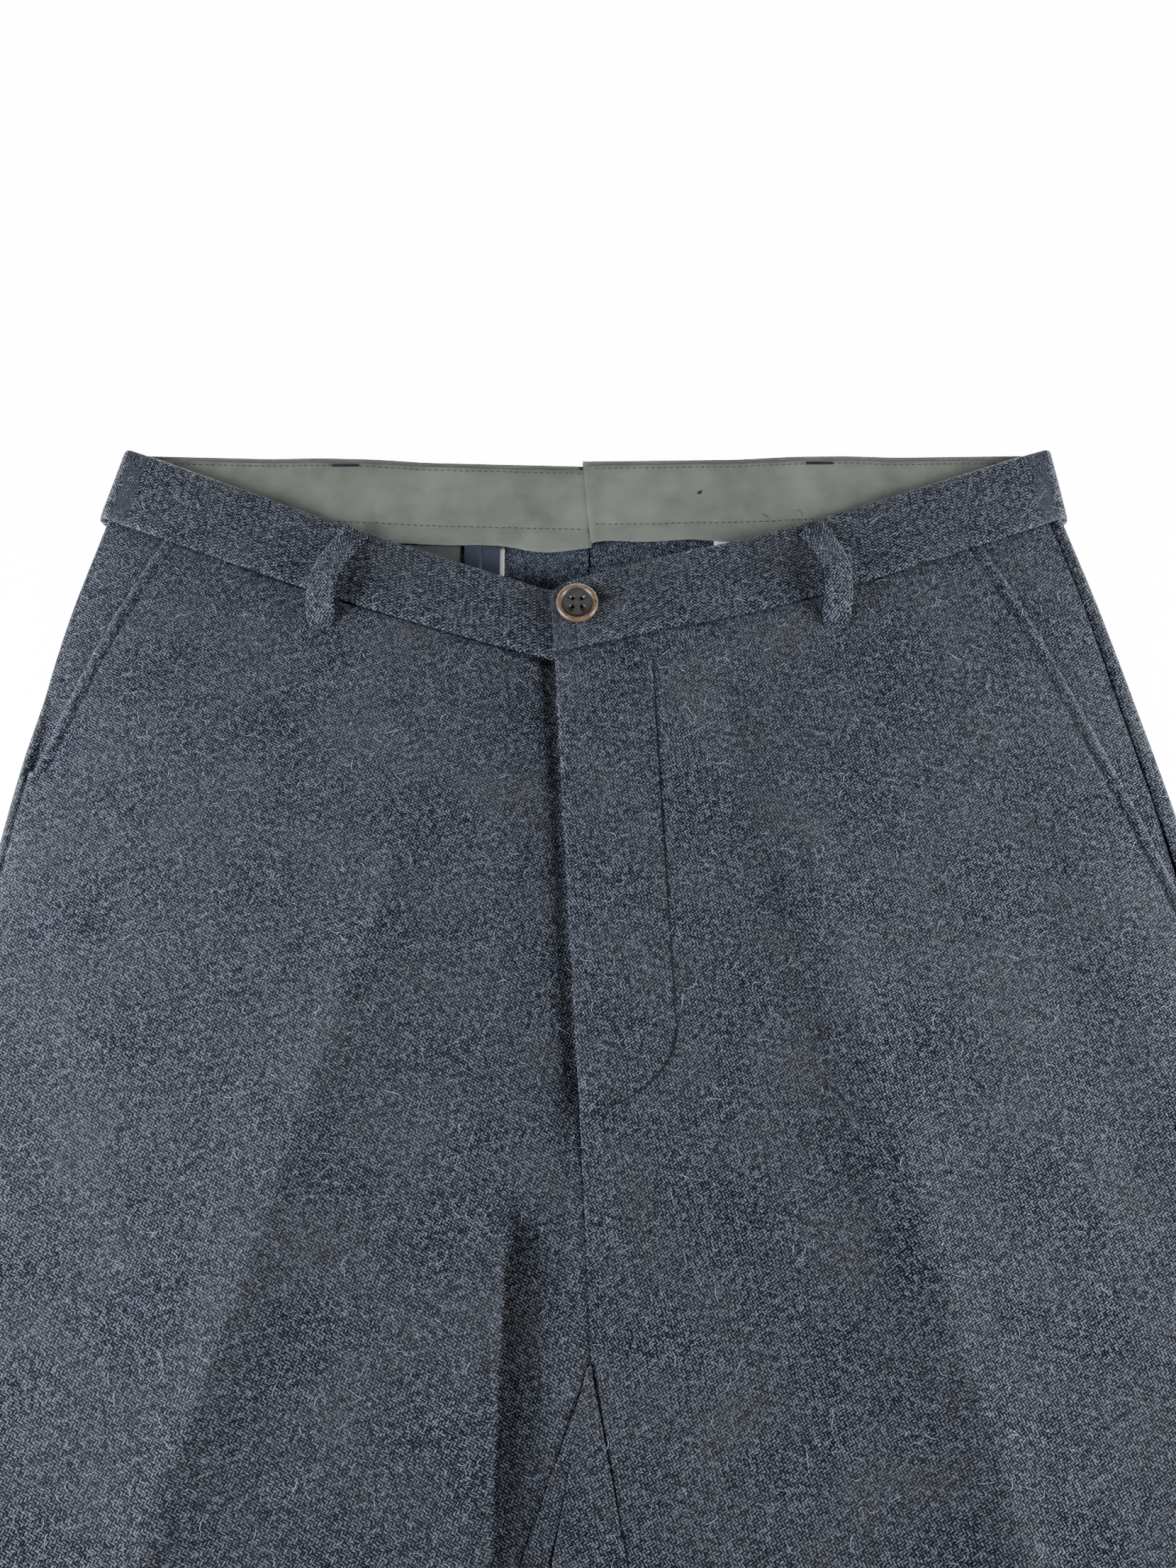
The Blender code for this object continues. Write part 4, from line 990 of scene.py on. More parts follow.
ROW_RUN = 347.0           # turns a small gap below the waist seam into a share of the rows
LEG_FINE = 90.0           # the legs are finer this far below the fork, as the camera sees it
J_ROWS_Y = (112.0, 68.0)  # where rows reach the fly's edge from the bend of its stitching
J_ROWS = 30
BELOW_WAIST = [-2.6, -1.2, -0.5, 0.05, 0.5, 1.0, 1.7, 2.6, 3.7, 5.1, 6.8]   # first rows tuck in


def stations(half, body_rows, leg_rows):
    """Row parameters from just below the waist seam to the hem, one of them at the pocket's end."""
    stops = [gap / ROW_RUN for gap in BELOW_WAIST] + [half.pocket_t]
    first = stops[-2]
    stops += [lerp(first, 1.0, i / body_rows) for i in range(1, body_rows + 1)]
    fine = LEG_FINE / LEG_LENGTH
    fine_rows = max(4, body_rows // 4)
    stops += [1.0 + fine * i / fine_rows for i in range(1, fine_rows + 1)]
    if half is RIGHT:
        sewn = [lerp(*J_ROWS_Y, i / J_ROWS) for i in range(J_ROWS)]
        reach = half.front_waist_y - CROTCH[1]
        stops += [CROTCH_T * (half.front_waist_y - y) / reach for y in sewn]
    last = 2.0 - 3.0 / LEG_LENGTH
    stops += [lerp(1.0 + fine, last, i / leg_rows) for i in range(1, leg_rows + 1)]
    return sorted(stops + [2.0 - gap / LEG_LENGTH for gap in (1.4, 0.5, 0.0)])


# %% [markdown]
# Each front is cut with a slanted mouth for its pocket, and tapers to the hem. On the left half the
# side seam has slid under the fold, so the front rolls round the edge; on the right half the seam
# has come up, and the back shows beside it.

# %% Fronts
FRONT_ROWS = (130, 84)     # of the body and of the legs
FRONT_COLUMNS = 78
ARC = [-90 + 15 * i for i in range(13)]   # degrees round a rolled edge, from below to above
WALL_COLUMNS = (14.0, 45.0)   # columns gather at the hollow's wall, this far from the inner edge


def facing_sink(row):
    """How far the facing lies below the front's surface."""
    end_t = row.half.pocket_t
    return lerp(POCKET_SINK, WOOL_THICK + CLEAR, smooth(row.t, end_t - 0.13, end_t))


def pocket_lift(row, distance):
    """The front rides up where the facing runs below it."""
    if row.t > row.half.pocket_t + 1e-6:
        return 0.0
    beyond = distance - max(row.pocket, row.seam) - POCKET_UNDER - 2.0
    return (WOOL_THICK + CLEAR - facing_sink(row)) * (1.0 - smooth(beyond, 0.0, POCKET_FADE))


def top_seam(row):
    """Where the side seam, or the rolled edge, lies on the upper layer."""
    return row.seam if row.seam > 0 else FOLD_R + 1.0


def front_edges(row):
    """Distances along the row to the front's outer and inner edges."""
    outer = top_seam(row) + SEAM / 2
    if row.t <= row.half.pocket_t:
        outer = max(row.pocket, outer)
    if row.leg:
        return outer, row.top_len - row.strip - SEAM / 2
    y = along(row.outer, row.top_dir, row.top_len)[1]
    if row.half is LEFT and row.t < CROTCH_T:
        return outer, row.top_len + lerp(-SEAM / 2, FLY_LAP, smooth(y, *FLY_LAP_END_Y))
    return outer, row.top_len - SEAM / 2


def front_panel(half):
    """The upper layer of one half."""
    grid, wrap = [], []
    for t in stations(half, *FRONT_ROWS):
        row = garment_row(half, t)
        outer, inner = front_edges(row)
        x_inner, y_inner = along(row.outer, row.top_dir, inner)
        keys = []
        if half is LEFT:
            off = min(WALL_COLUMNS[1], max(WALL_COLUMNS[0], x_inner - hollow_wall(y_inner)))
        else:
            run = half.front_waist_y - FLY_STITCH_TURN
            off = lerp(*FLY_STITCH_OFF, min(1.0, max(0.0, (y_inner - FLY_STITCH_TURN) / run)))
        line = inner - outer - off / abs(row.top_dir[0])
        for distance in graded(inner - outer, FRONT_COLUMNS, line):
            reach = outer + distance
            x, y, z = top_point(row, reach, lift=pocket_lift(row, reach))
            keys.append((x, y, z + front_relief(row, x, y, distance, inner - reach)))
        grid.append(keys)
        if row.seam < 0 and t >= half.pocket_t:
            spots = [low_point(row, -row.seam - SEAM / 2)] + [arc_point(row, a) for a in ARC]
            x, y = keys[0][:2]
            wrap.append([(*spot, x - (len(spots) - i) * 1.2, y) for i, spot in enumerate(spots)]
                        + [keys[0]])
    skin = make_cloth(f"front_{half.name}", [grid, wrap], WOOL_THICK, (WOOL, WOOL_INSIDE_PAINTED_LIGHT),
                      grain=half.sign * half.lean, flip=half is LEFT)
    folded = [f"front_fold_{half.name}"] if wrap else []
    return dress(skin, "wool", f"front_panel_{half.name}", *folded)


FRONTS = [front_panel(half) for half in HALVES]
print("front faces", [len(piece.data.polygons) for piece in FRONTS])

# %% [markdown]
# The facing is the wool that shows below the slanted pocket mouth. It carries on under the front,
# where the hand would slide in, and on the left it rolls round the side fold as well.

# %% Pocket facings
FOLDED_SINK = 1.3
POCKET_SLACK = 0.7
SEAM_SLOPE = 0.25


def pocket_facing(half):
    """The wool below a slanted pocket mouth, and how it runs on under the front."""
    grid = []
    last_t = half.pocket_t + 0.012
    for i in range(61):
        row = body_row(half, lerp(BELOW_WAIST[0] / ROW_RUN, last_t, i / 60))
        sink = facing_sink(row)
        rolled_sink = min(sink, FOLDED_SINK) * (1.0 - smooth(row.t, last_t - 0.13, last_t - 0.01))
        edge = max(row.pocket, top_seam(row))
        keys = []
        if row.seam < 0:
            keys.append(low_point(row, -row.seam - SEAM / 2, rolled_sink))
            keys += [arc_point(row, angle, rolled_sink) for angle in ARC]
            start = FOLD_R + 1.5
        else:
            start = row.seam + SEAM / 2 + sink * SEAM_SLOPE
        for j in range(25):
            distance = lerp(start, edge + POCKET_UNDER, j / 24)
            deeper = POCKET_SLACK * max(0.0, distance - edge) / POCKET_UNDER
            x, y, z = top_point(row, distance, sink=sink + deeper)
            drop = dive(distance - start, 0.7, 1.2) if row.seam > 0 else 0.0
            drop += dive(row.t * ROW_RUN, 0.8, 1.5)
            keys.append((x, y, z - drop + 0.3 * cushion(x, y) * smooth(edge - distance, 0, 8)))
        grid.append(keys)
    skin = make_cloth(f"facing_{half.name}", [grid], WOOL_THICK, (WOOL,),
                      grain=half.sign * half.lean, flip=half is LEFT)
    return dress(skin, "wool", f"pocket_facing_{half.name}")


FACINGS = [pocket_facing(half) for half in HALVES]

# %% [markdown]
# The backs lie underneath. What shows of them from above is the inside below the waistband, the
# strip beyond the inside-leg seam, and the strip beside the side seam on the right.

# %% Backs
ROLL_FROM_T = 0.953       # from here down the back's flat edge starts to roll round the leg
BACK_ROWS = (100, 60)
BACK_COLUMNS = 22
BELOW_CROTCH = (0.03, 0.08, 0.14, 0.21, 0.3, 0.4, 0.52, 0.64, 0.76, 0.88)   # shares to the fork


def inner_point(row, angle):
    """A point of the inner fold of a leg, with the same angles as the outer one."""
    inset = FOLD_R * (1.0 - math.cos(math.radians(angle)))
    x, y = along(row.outer, row.low_dir, row.low_len - inset)
    return (x, y, FOLD_R * (1.0 + math.sin(math.radians(angle))))


def strip_point(row, share, angle):
    """Between the inside seam and the inner fold: share runs across the flat part, angle round."""
    width = row.strip - SEAM / 2
    inset = FOLD_R * (1.0 - math.cos(math.radians(angle)))
    if share is not None:
        inset = lerp(width, FOLD_R, share)
    if row.t >= 1.0:
        if share is None:
            return inner_point(row, angle)
        x, y = along(row.outer, row.low_dir, row.low_len - inset)
        z = front_height(row.half, x, y, row.low_len - inset, inset, 1.0)
        return (x, y, z - dive(width - inset, *STRIP_SEAM))
    seam_end = along(row.outer, row.top_dir, row.top_len)
    towards, run = unit(seam_end, row.tip)
    start = along(seam_end, towards, SEAM / 2)
    run -= SEAM
    part = 1.0 - inset / width
    x, y = along(start, towards, run * part)
    z = front_height(row.half, x, y, 1e3, run * (1.0 - part), row.blend)
    drop = FOLD_R * (1.0 - math.sin(math.radians(angle))) if share is None else 0.0
    return (x, y, z - drop * row.blend - dive(run * part, *STRIP_SEAM) * row.blend)


# %% [markdown]
# A back is two grids: the flat layer on the table with its outer edge, and the strip that comes up
# at the inside seam. Both follow the same rows, so that they meet at the inner fold.

# %% The two backs
def back_panel(half):
    """The lower layer, its outer fold, and the strip that wraps round the inner fold."""
    low, strips = [], []
    for t in stations(half, *BACK_ROWS):
        row = garment_row(half, t)
        rolled = smooth(t, ROLL_FROM_T, 1.0)
        keys = []
        for angle in range(0, -91, -15):
            flat = low_point(row, row.low_len - FOLD_R * (1.0 - math.cos(math.radians(angle))))
            keys.append(tuple(lerp(a, b, rolled) for a, b in zip(flat, inner_point(row, angle))))
        last = max(FOLD_R, SEAM / 2 - row.seam) if row.seam < 0 else FOLD_R
        keys += [low_point(row, lerp(row.low_len - FOLD_R, last, (i + 1) / BACK_COLUMNS))
                 for i in range(BACK_COLUMNS)]
        if row.seam > 0:
            keys += [arc_point(row, angle) for angle in ARC[1:]]
            for share in (0.25, 0.5, 0.7, 0.85, 0.94, 1.0):
                distance = lerp(FOLD_R, row.seam - SEAM / 2, share)
                x, y, z = top_point(row, distance)
                keys.append((x, y, z - dive(row.seam - distance, 0.9, 1.0)
                             - dive(row.t * ROW_RUN, *WAIST_SEAM)))
        low.append(keys)
    tip = own_side(half, CROTCH)
    across = [i / 8 for i in range(9)]
    round_fold = list(range(75, -1, -15))
    strips.append([(*tip, front_height(half, *tip))] * (len(across) + len(round_fold)))
    tops = [CROTCH_T + (1.0 - CROTCH_T) * share for share in BELOW_CROTCH]
    for t in tops + [t for t in stations(half, *BACK_ROWS) if t >= 1.0]:
        row = garment_row(half, t)
        strips.append([strip_point(row, share, 0.0) for share in across]
                      + [strip_point(row, None, angle) for angle in round_fold])
    skin = make_cloth(f"back_{half.name}", [low, strips], WOOL_THICK, (WOOL, WOOL_INSIDE_PAINTED_LIGHT),
                      grain=half.sign * half.lean, flip=half is LEFT)
    folded = [f"back_fold_{half.name}"] if half is LEFT else []
    return dress(skin, "wool", f"back_panel_{half.name}", *folded)


BACKS = [back_panel(half) for half in HALVES]
print("back faces", [len(piece.data.polygons) for piece in BACKS])

# %% [markdown]
# The waistband is cut along the cloth, not across it, so its weave runs sideways. It is a strip of
# wool turned over canvas and pressed, and both its long edges and its fly end are rolled, not
# sharp. The upper end's corner is rounded, as a turned-out corner always is.

# %% Waistband
BAND_CORNER = 7.5
BAND_BACK_ROWS = 57
BAND_STEPS = [0.0, 0.012, 0.03, 0.055, 0.09, 0.14, 0.2, 0.28, 0.36, 0.44, 0.52, 0.6, 0.68, 0.76,
              0.84, 0.9, 0.94, 0.965, 0.985, 1.0]


def band_front_y(half, x, upper):
    """Edge lines of the front waistband, from the fly to the side."""
    start_x, start = (FLY_TOP_X, FRONT_TOP_Y) if upper else (FLY_WAIST_X, half.front_waist_y)
    end_x, end = (half.band_top_x, SIDE_TOP_Y) if upper else (abs(side_x(half, SIDE_WAIST_Y)),
                                                              SIDE_WAIST_Y)
    share = min(1.0, max(0.0, (x - start_x) / (half.sign * end_x - start_x)))
    sag = half.top_sag if upper else half.sag
    return lerp(start, end, share - sag * math.sin(math.pi * share))


def band_back_y(half, x, upper):
    """The same edge lines of the back waistband."""
    share = min(1.0, abs(x) / half.band_top_x)
    if upper:
        return lerp(half.back_waist_y + BAND_WIDTH, BACK_SIDE_TOP_Y, share)
    return lerp(half.back_waist_y, SIDE_WAIST_Y, share)


def band_front_z(half, x, from_fold):
    """Height of the front waistband; the upper end rides over the lower one."""
    rise = 1.0 - math.exp(-max(0.0, from_fold - BAND_FOLD_R) / BAND_RISE)
    z = lerp(2 * BAND_FOLD_R, BAND_TOP, rise)
    if half is RIGHT:
        z += BAND_LIFT * (1.0 - smooth(x - FLY_WAIST_X, *FLY_LIFT_X))
    return z


def band_roll(share, from_end):
    """How far the band's surface has rolled down near its edges."""
    top, low = share * BAND_WIDTH, (1.0 - share) * BAND_WIDTH
    return dive(top, 1.5, 0.9) + dive(low, 1.4, 1.1) + dive(from_end, 1.5, 0.9)


def corner_inset(share):
    """The band's end steps back near its upper corner."""
    gap = BAND_CORNER - share * BAND_WIDTH
    if gap <= 0.0:
        return 0.0
    return BAND_CORNER - math.sqrt(BAND_CORNER ** 2 - gap ** 2)


# %% [markdown]
# One grid makes a whole half of the band. It starts at the fly, runs to the side, rolls round the
# side fold and ends at the centre back seam. A row is a cut across the band, from its upper edge to
# its lower one, and a small inner function adds each.

# %% The band's two halves
def waistband(half):
    grid = []
    sides = (half.band_top_x, half.band_low_x)
    underlap = BAND_UNDERLAP if half is LEFT else 0.0
    ends = (FLY_TOP_X + underlap, FLY_WAIST_X + underlap)
    run = 0.0

    def add(upper, lower, step, roll_end=1e3, corner=False):
        nonlocal run
        run += step
        keys = []
        for share in BAND_STEPS:
            x, y, z = (lerp(a, b, share) for a, b in zip(upper, lower))
            if corner and half is RIGHT:
                x += corner_inset(share) * math.exp(-roll_end / 6.0)
            z -= band_roll(share, roll_end if half is RIGHT else 1e3)
            z += 0.7 * cushion(x, y + 40.0) * math.sin(math.pi * share)
            keys.append((x, y, z, share * BAND_WIDTH, run))
        grid.append(keys)

    length = half.sign * sides[0] - ends[0]
    for distance in graded(abs(length) - BAND_FOLD_R, 76):
        share = distance / (abs(length) - BAND_FOLD_R)
        spots = []
        for upper, side, end in zip((True, False), sides, ends):
            x = lerp(end, half.sign * (side - BAND_FOLD_R), share)
            y = band_front_y(half, x, upper) + (0.0 if upper else SEAM / 2)
            from_fold = side - abs(x) if x * half.sign > 0 else side
            spots.append((x, y, band_front_z(half, x, from_fold)))
        add(*spots, 2.4, distance, corner=True)
    for angle in range(75, -90, -15):
        spots = []
        for upper, side in zip((True, False), sides):
            x = half.sign * (side - BAND_FOLD_R * (1.0 - math.cos(math.radians(angle))))
            y = lerp(band_front_y(half, x, upper), band_back_y(half, x, upper), (90 - angle) / 180)
            if not upper:
                taper = BAND_THICK * (sides[1] - sides[0]) / BAND_WIDTH
                y += SEAM / 2 + taper * math.cos(math.radians(angle))
            spots.append((x, y, BAND_FOLD_R * (1.0 + math.sin(math.radians(angle)))))
        add(*spots, 1.4)
    for i in range(BAND_BACK_ROWS):
        spots = []
        share = i / (BAND_BACK_ROWS - 1)
        for upper, side, middle in zip((True, False), sides, (BACK_TOP_X, BACK_WAIST_X)):
            x = lerp(half.sign * (side - BAND_FOLD_R), middle + half.sign * SEAM / 2, share)
            y = band_back_y(half, x, upper) + (0.0 if upper else SEAM / 2)
            spots.append((x, y, back_raise(x, y)))
        add(*spots, 3.7)
    for keys in grid[-BAND_BACK_ROWS:]:   # the back's outer side lies flat on the table
        keys[:] = [(x, y, back_raise(x, y), u, v) for x, y, z, u, v in keys]
    skin = make_cloth(f"band_{half.name}", [grid], BAND_THICK, (WOOL, LINING), flip=half is LEFT)
    return dress(skin, "wool_band", f"waistband_{half.name}")


BANDS = [waistband(half) for half in HALVES]
print("band faces", [len(piece.data.polygons) for piece in BANDS])

# %% [markdown]
# Inside the back of the waistband a tailor sews a curtain, a strip of olive cotton with a folded
# top edge and a loose, slightly rippled lower edge. A line of stitches holds it near the top, and
# each of them pulls the thin cloth down a little.

# %% Curtain
CURTAIN_SIDE_X = 196.0
CURTAIN_TOP_GAP = 3.0
CURTAIN_LONGER = 2.4      # the right half hangs longer beside the centre seam
# share of the drop, x of the centre seam and lift off the band
CURTAIN_ROWS = ((0.0, -2.2, 0.0), (0.5, -0.4, 0.0), (0.82, 0.7, 0.5), (1.0, 1.6, 0.5))
CURTAIN_LINE = 30.5       # the lower line of stitches, below the top edge


def curtain_bottom(x):
    """The lower edge waves a little."""
    return 1.1 * math.sin(x / 13.0) + 0.8 * math.sin(x / 7.3 + 1.0)


def curtain_level(share):
    """Where the centre seam runs and how much the curtain lifts, at a share of its drop."""
    for (a, a_x, a_lift), (b, b_x, b_lift) in zip(CURTAIN_ROWS, CURTAIN_ROWS[1:]):
        if share <= b:
            t = (share - a) / (b - a)
            return lerp(a_x, b_x, t), lerp(a_lift, b_lift, t)
    return CURTAIN_ROWS[-1][1:]


def curtain_relief(x, fall, to_seam):
    """Ripples, puckers at the stitches and slack between them."""
    sag = 0.35 * bell(fall - 1.8, 0.8) + 0.45 * bell(fall - CURTAIN_LINE, 0.9)
    sag += dive(to_seam, 0.5, 1.2)
    ripple = 0.25 * math.sin(x / 9.0 + fall / 14.0) * smooth(fall, 4.0, 20.0)
    loose = 0.5 * math.sin(x / 6.1 + 0.7) * smooth(fall, CURTAIN_LINE + 0.5, CURTAIN_LINE + 5.0)
    pucker = 0.14 * math.sin(x / 1.9) * bell(fall - CURTAIN_LINE, 3.5)
    slant = 0.3 * noise.noise(Vector((x / 14 + fall / 22, fall / 30, 2.0)))
    return ripple * 0.5 + max(0.0, loose) + pucker + slant - sag


def curtain(half):
    """Half of the curtain, from the centre seam to the side."""
    grid = []
    for i in range(98):
        share = i / 97
        keys = []
        for j in range(27):
            drop = j / 26
            middle, lift = curtain_level(drop)
            x = lerp(middle + half.sign * SEAM / 2, half.sign * CURTAIN_SIDE_X, share)
            top = band_back_y(half, x, True) - CURTAIN_TOP_GAP
            longer = 0.0
            if half is RIGHT:
                longer = CURTAIN_LONGER * math.exp(-abs(x) / CURTAIN_SIDE_X * 5)
            fall = drop * (half.curtain_drop + longer)
            y = top - fall + curtain_bottom(x) * smooth(drop, 0.82, 1.0)
            z = back_raise(x, y) + BAND_THICK + SLIP + LINING_THICK + lift
            z += curtain_relief(x, fall, share * CURTAIN_SIDE_X) + 0.5
            keys.append((x, y, z))
        grid.append(keys)
    skin = make_cloth(f"curtain_{half.name}_skin", [grid], LINING_THICK * 0.5, (LINING,),
                      flip=half is LEFT)
    return dress(skin, "lining", f"curtain_{half.name}")


CURTAINS = [curtain(half) for half in HALVES]

# %% [markdown]
# Belt loops are strips of the same wool, folded in three and pressed, then caught at both ends with
# a bar tack. The front ones have lost their press and bow up off the band.

# %% Belt loops
LOOP_COLUMNS = 12
LOOP_END = 0.84           # from here the loop curls down to where it is folded under
LOOP_TUCK = 2.2           # and dips this much
LOOP_TWIST = 2.6          # the edge towards the middle stands higher


def loop_spot(line, t):
    """A point of a loop's centre line, and its direction."""
    x = (1 - t) ** 2 * line.x0 + 2 * t * (1 - t) * line.x1 + t * t * line.x2
    y = (1 - t) ** 2 * line.y0 + 2 * t * (1 - t) * line.y1 + t * t * line.y2
    dx = 2 * (1 - t) * (line.x1 - line.x0) + 2 * t * (line.x2 - line.x1)
    dy = 2 * (1 - t) * (line.y1 - line.y0) + 2 * t * (line.y2 - line.y1)
    run = math.hypot(dx, dy)
    return x, y, dx / run, dy / run


def front_loop_seat(line, x, y, t):
    """What the loop lies on: the band above and the front below."""
    half = LEFT if line.x0 < 0 else RIGHT
    band, panel = band_front_z(half, x, 100.0), front_height(half, x, y)
    onto_panel = smooth(t, 0.74, 0.90)
    return max(band, panel) * (1.0 - onto_panel) + panel * onto_panel + CLEAR + 0.1


def belt_loop(line, front):
    """A strip along the loop's centre line, bowed up at the front and flat at the back."""
    grid = []
    rows = 44 if front else 12
    for i in range(rows + 1):
        t = i / rows
        x, y, dx, dy = loop_spot(line, t)
        z = 0.0
        if front:
            z = front_loop_seat(line, x, y, t)
            if 0.04 < t < 0.96:
                z += LOOP_BOW * math.sin(math.pi * smooth(t, 0.04, 0.96)) ** 0.8
        keys = []
        ended = max(0.0, (t - LOOP_END) / (1.0 - LOOP_END)) if front else 0.0
        z -= LOOP_TUCK * ended ** 2
        for j in range(LOOP_COLUMNS + 1):
            side = j / LOOP_COLUMNS - 0.5
            off = side * LOOP_WIDTH * (1.0 - 0.35 * ended ** 3)
            edge = LOOP_WIDTH / 2 - abs(off)
            crown = (0.3 - dive(edge, 1.0, 0.7)) if front else -dive(edge, 0.4, 0.7)
            if front:
                inward = 0.5 + side * math.copysign(1.0, -line.x0)
                crown += LOOP_TWIST * inward * math.sin(math.pi * t)
            keys.append((x - dy * off, y + dx * off, z + LOOP_THICK + crown,
                         off, t * 46.0))
        grid.append(keys)
    skin = make_cloth(f"{line.name}_skin", [grid], LOOP_THICK, (WOOL,), flip=True)
    return dress(skin, "wool_band", line.name)


LOOPS = [belt_loop(line, True) for line in FRONT_LOOPS]
LOOPS += [belt_loop(line, False) for line in BACK_LOOPS]

# %% [markdown]
# Inside the back lie the back pocket's bag in olive and cream cotton, the two bound edges of a
# seam, and a plain white tag.

# %% Inside pieces
InsidePiece = namedtuple("InsidePiece", "name top_y top_x0 top_x1 low_y low_x0 low_x1 level")
INSIDE = [
    # The pocket bag takes the painted-shade copy of the olive cotton.
    (InsidePiece("pocketing", 336, -130.0, -55.4, 262, -124.0, -57.0, 0.0), LINING_PAINTED_SHADE, "lining"),
    (InsidePiece("pocket_cloth", 336, -54.8, -37.0, 262, -56.4, -36.6, 0.0), CREAM,
     "cream_cotton"),
    (InsidePiece("seam_binding_outer", 336, -54.8, -47.1, 262, -56.3, -48.6, 1.0), BINDING,
     "binding"),
    (InsidePiece("seam_binding_inner", 336, -46.7, -38.9, 262, -46.2, -38.4, 1.0), BINDING,
     "binding"),
    (InsidePiece("blank_tag", 340, 56.0, 84.0, 300, 56.0, 84.0, 0.0), TAG, "white_satin"),
]


def inside_piece(row, material, slot):
    """A thin flat cloth on the inside of the back."""
    grid = []
    for i in range(31):
        down = i / 30
        keys = []
        for j in range(25):
            left, right = lerp(row.top_x0, row.low_x0, down), lerp(row.top_x1, row.low_x1, down)
            x, y = lerp(left, right, j / 24), lerp(row.top_y, row.low_y, down)
            layers = (SLIP + LINING_THICK) * (1 + row.level)
            z = WOOL_THICK + back_raise(x, y, INSIDE_FADE) + layers
            edge = min(x - left, right - x)
            keys.append((x, y, z - dive(edge, 0.35, 0.6)))
        grid.append(keys)
    skin = make_cloth(f"{row.name}_skin", [grid], LINING_THICK * 0.6, (material,), flip=True)
    return dress(skin, slot, row.name)


INSIDES = [inside_piece(*entry) for entry in INSIDE]

# %% [markdown]
# The button is turned from a horn-like plastic: a rolled golden brown rim round a sunk dark face
# with four holes. A profile of radius and height is swept round the middle, and the rim's faces
# get the paler finish, as on a real button, where the turning cuts through to a paler layer.

# %% Button
BUTTON_R = 9.0
BUTTON_RIM_R = 6.9        # the paler rim starts here
BUTTON_HOLE_R = 0.85
BUTTON_HOLE_PITCH = 3.6
BUTTON_SIDES = 72
BUTTON_UNDER = 0.4        # below this height the rim ends
BUTTON_PROFILE = [(0.0, 2.4), (1.2, 2.4), (5.6, 2.42), (6.2, 2.5), (6.6, 2.72), (6.9, 3.02),
                  (7.25, 3.26), (7.6, 3.38), (7.95, 3.36), (8.35, 3.2), (8.7, 2.9), (8.93, 2.5),
                  (9.0, 2.1), (8.95, 1.6), (8.75, 1.2), (8.3, 0.75), (7.4, 0.35), (5.4, 0.0),
                  (0.0, 0.0)]


def turned_body():
    """The profile swept round the button's middle."""
    build = bmesh.new()
    rings = []
    for radius, height in BUTTON_PROFILE:
        count = BUTTON_SIDES if radius else 1
        rings.append([build.verts.new(place(
            BUTTON_X + radius * math.cos(math.tau * i / BUTTON_SIDES),
            BUTTON_Y + radius * math.sin(math.tau * i / BUTTON_SIDES),
            BUTTON_SEAT + height)) for i in range(count)])
    for k in range(len(rings) - 1):
        inner, outer = rings[k], rings[k + 1]
        radius, height = BUTTON_PROFILE[k]
        rim = BUTTON_RIM_R <= radius and height > BUTTON_UNDER
        for i in range(BUTTON_SIDES):
            j = (i + 1) % BUTTON_SIDES
            corners = [inner[i % len(inner)], outer[i % len(outer)], outer[j % len(outer)],
                       inner[j % len(inner)]]
            corners = list(dict.fromkeys(corners))
            build.faces.new(corners).material_index = 1 if rim else 0
    mesh = bpy.data.meshes.new("button_turned")
    build.to_mesh(mesh)
    build.free()
    mesh.materials.append(HORN_FACE)
    mesh.materials.append(HORN_RIM)
    mesh.shade_smooth()
    piece = bpy.data.objects.new("waist_button", mesh)
    bpy.context.scene.collection.objects.link(piece)
    return piece


def drill_holes(piece):
    """Four holes for the thread, cut with cylinders that are then thrown away."""
    drills = []
    for sx, sy in ((-1, -1), (1, -1), (-1, 1), (1, 1)):
        bpy.ops.mesh.primitive_cylinder_add(
            vertices=20, radius=BUTTON_HOLE_R / 1000, depth=0.02,
            location=place(BUTTON_X + sx * BUTTON_HOLE_PITCH / 2,
                           BUTTON_Y + sy * BUTTON_HOLE_PITCH / 2, BUTTON_SEAT))
        drills.append(bpy.context.object)
    for i, drill in enumerate(drills):
        cut = piece.modifiers.new(f"hole {i}", "BOOLEAN")
        cut.operation = "DIFFERENCE"
        cut.object = drill
    ready = bpy.data.meshes.new_from_object(piece.evaluated_get(
        bpy.context.evaluated_depsgraph_get()))
    piece.modifiers.clear()
    piece.data = ready
    for drill in drills:
        bpy.data.objects.remove(drill, do_unlink=True)


BUTTON = turned_body()
drill_holes(BUTTON)
dress(BUTTON, "horn", "button")
print("button faces", len(BUTTON.data.polygons))

# %% [markdown]
# Everything small lies on the cloth, so its height comes from the cloth itself: a ray dropped on
# the finished skins finds it. One builder then makes stitches, threads and loose fibres alike. Each
# is a thin closed spindle along a short path, far cheaper than a curve object for each.

# %% Spindles on the cloth
def surface_tree(pieces):
    """All these skins as one surface that rays can be dropped on."""
    verts, faces = [], []
    for piece in pieces:
        start = len(verts)
        verts += [vert.co for vert in piece.data.vertices]
        faces += [tuple(start + i for i in face.vertices) for face in piece.data.polygons]
    return BVHTree.FromPolygons(verts, faces)


CLOTH = surface_tree(FRONTS + FACINGS + BACKS + BANDS + CURTAINS + LOOPS + INSIDES)
DROP_FROM = 80.0
DOWN = Vector((0.0, 0.0, -1.0))


def surface_z(x, y):
    """Height of the topmost cloth in millimetres, or None beside the garment."""
    hit = CLOTH.ray_cast(place(x, y, DROP_FROM), DOWN)[0]
    return None if hit is None else hit.z * 1000


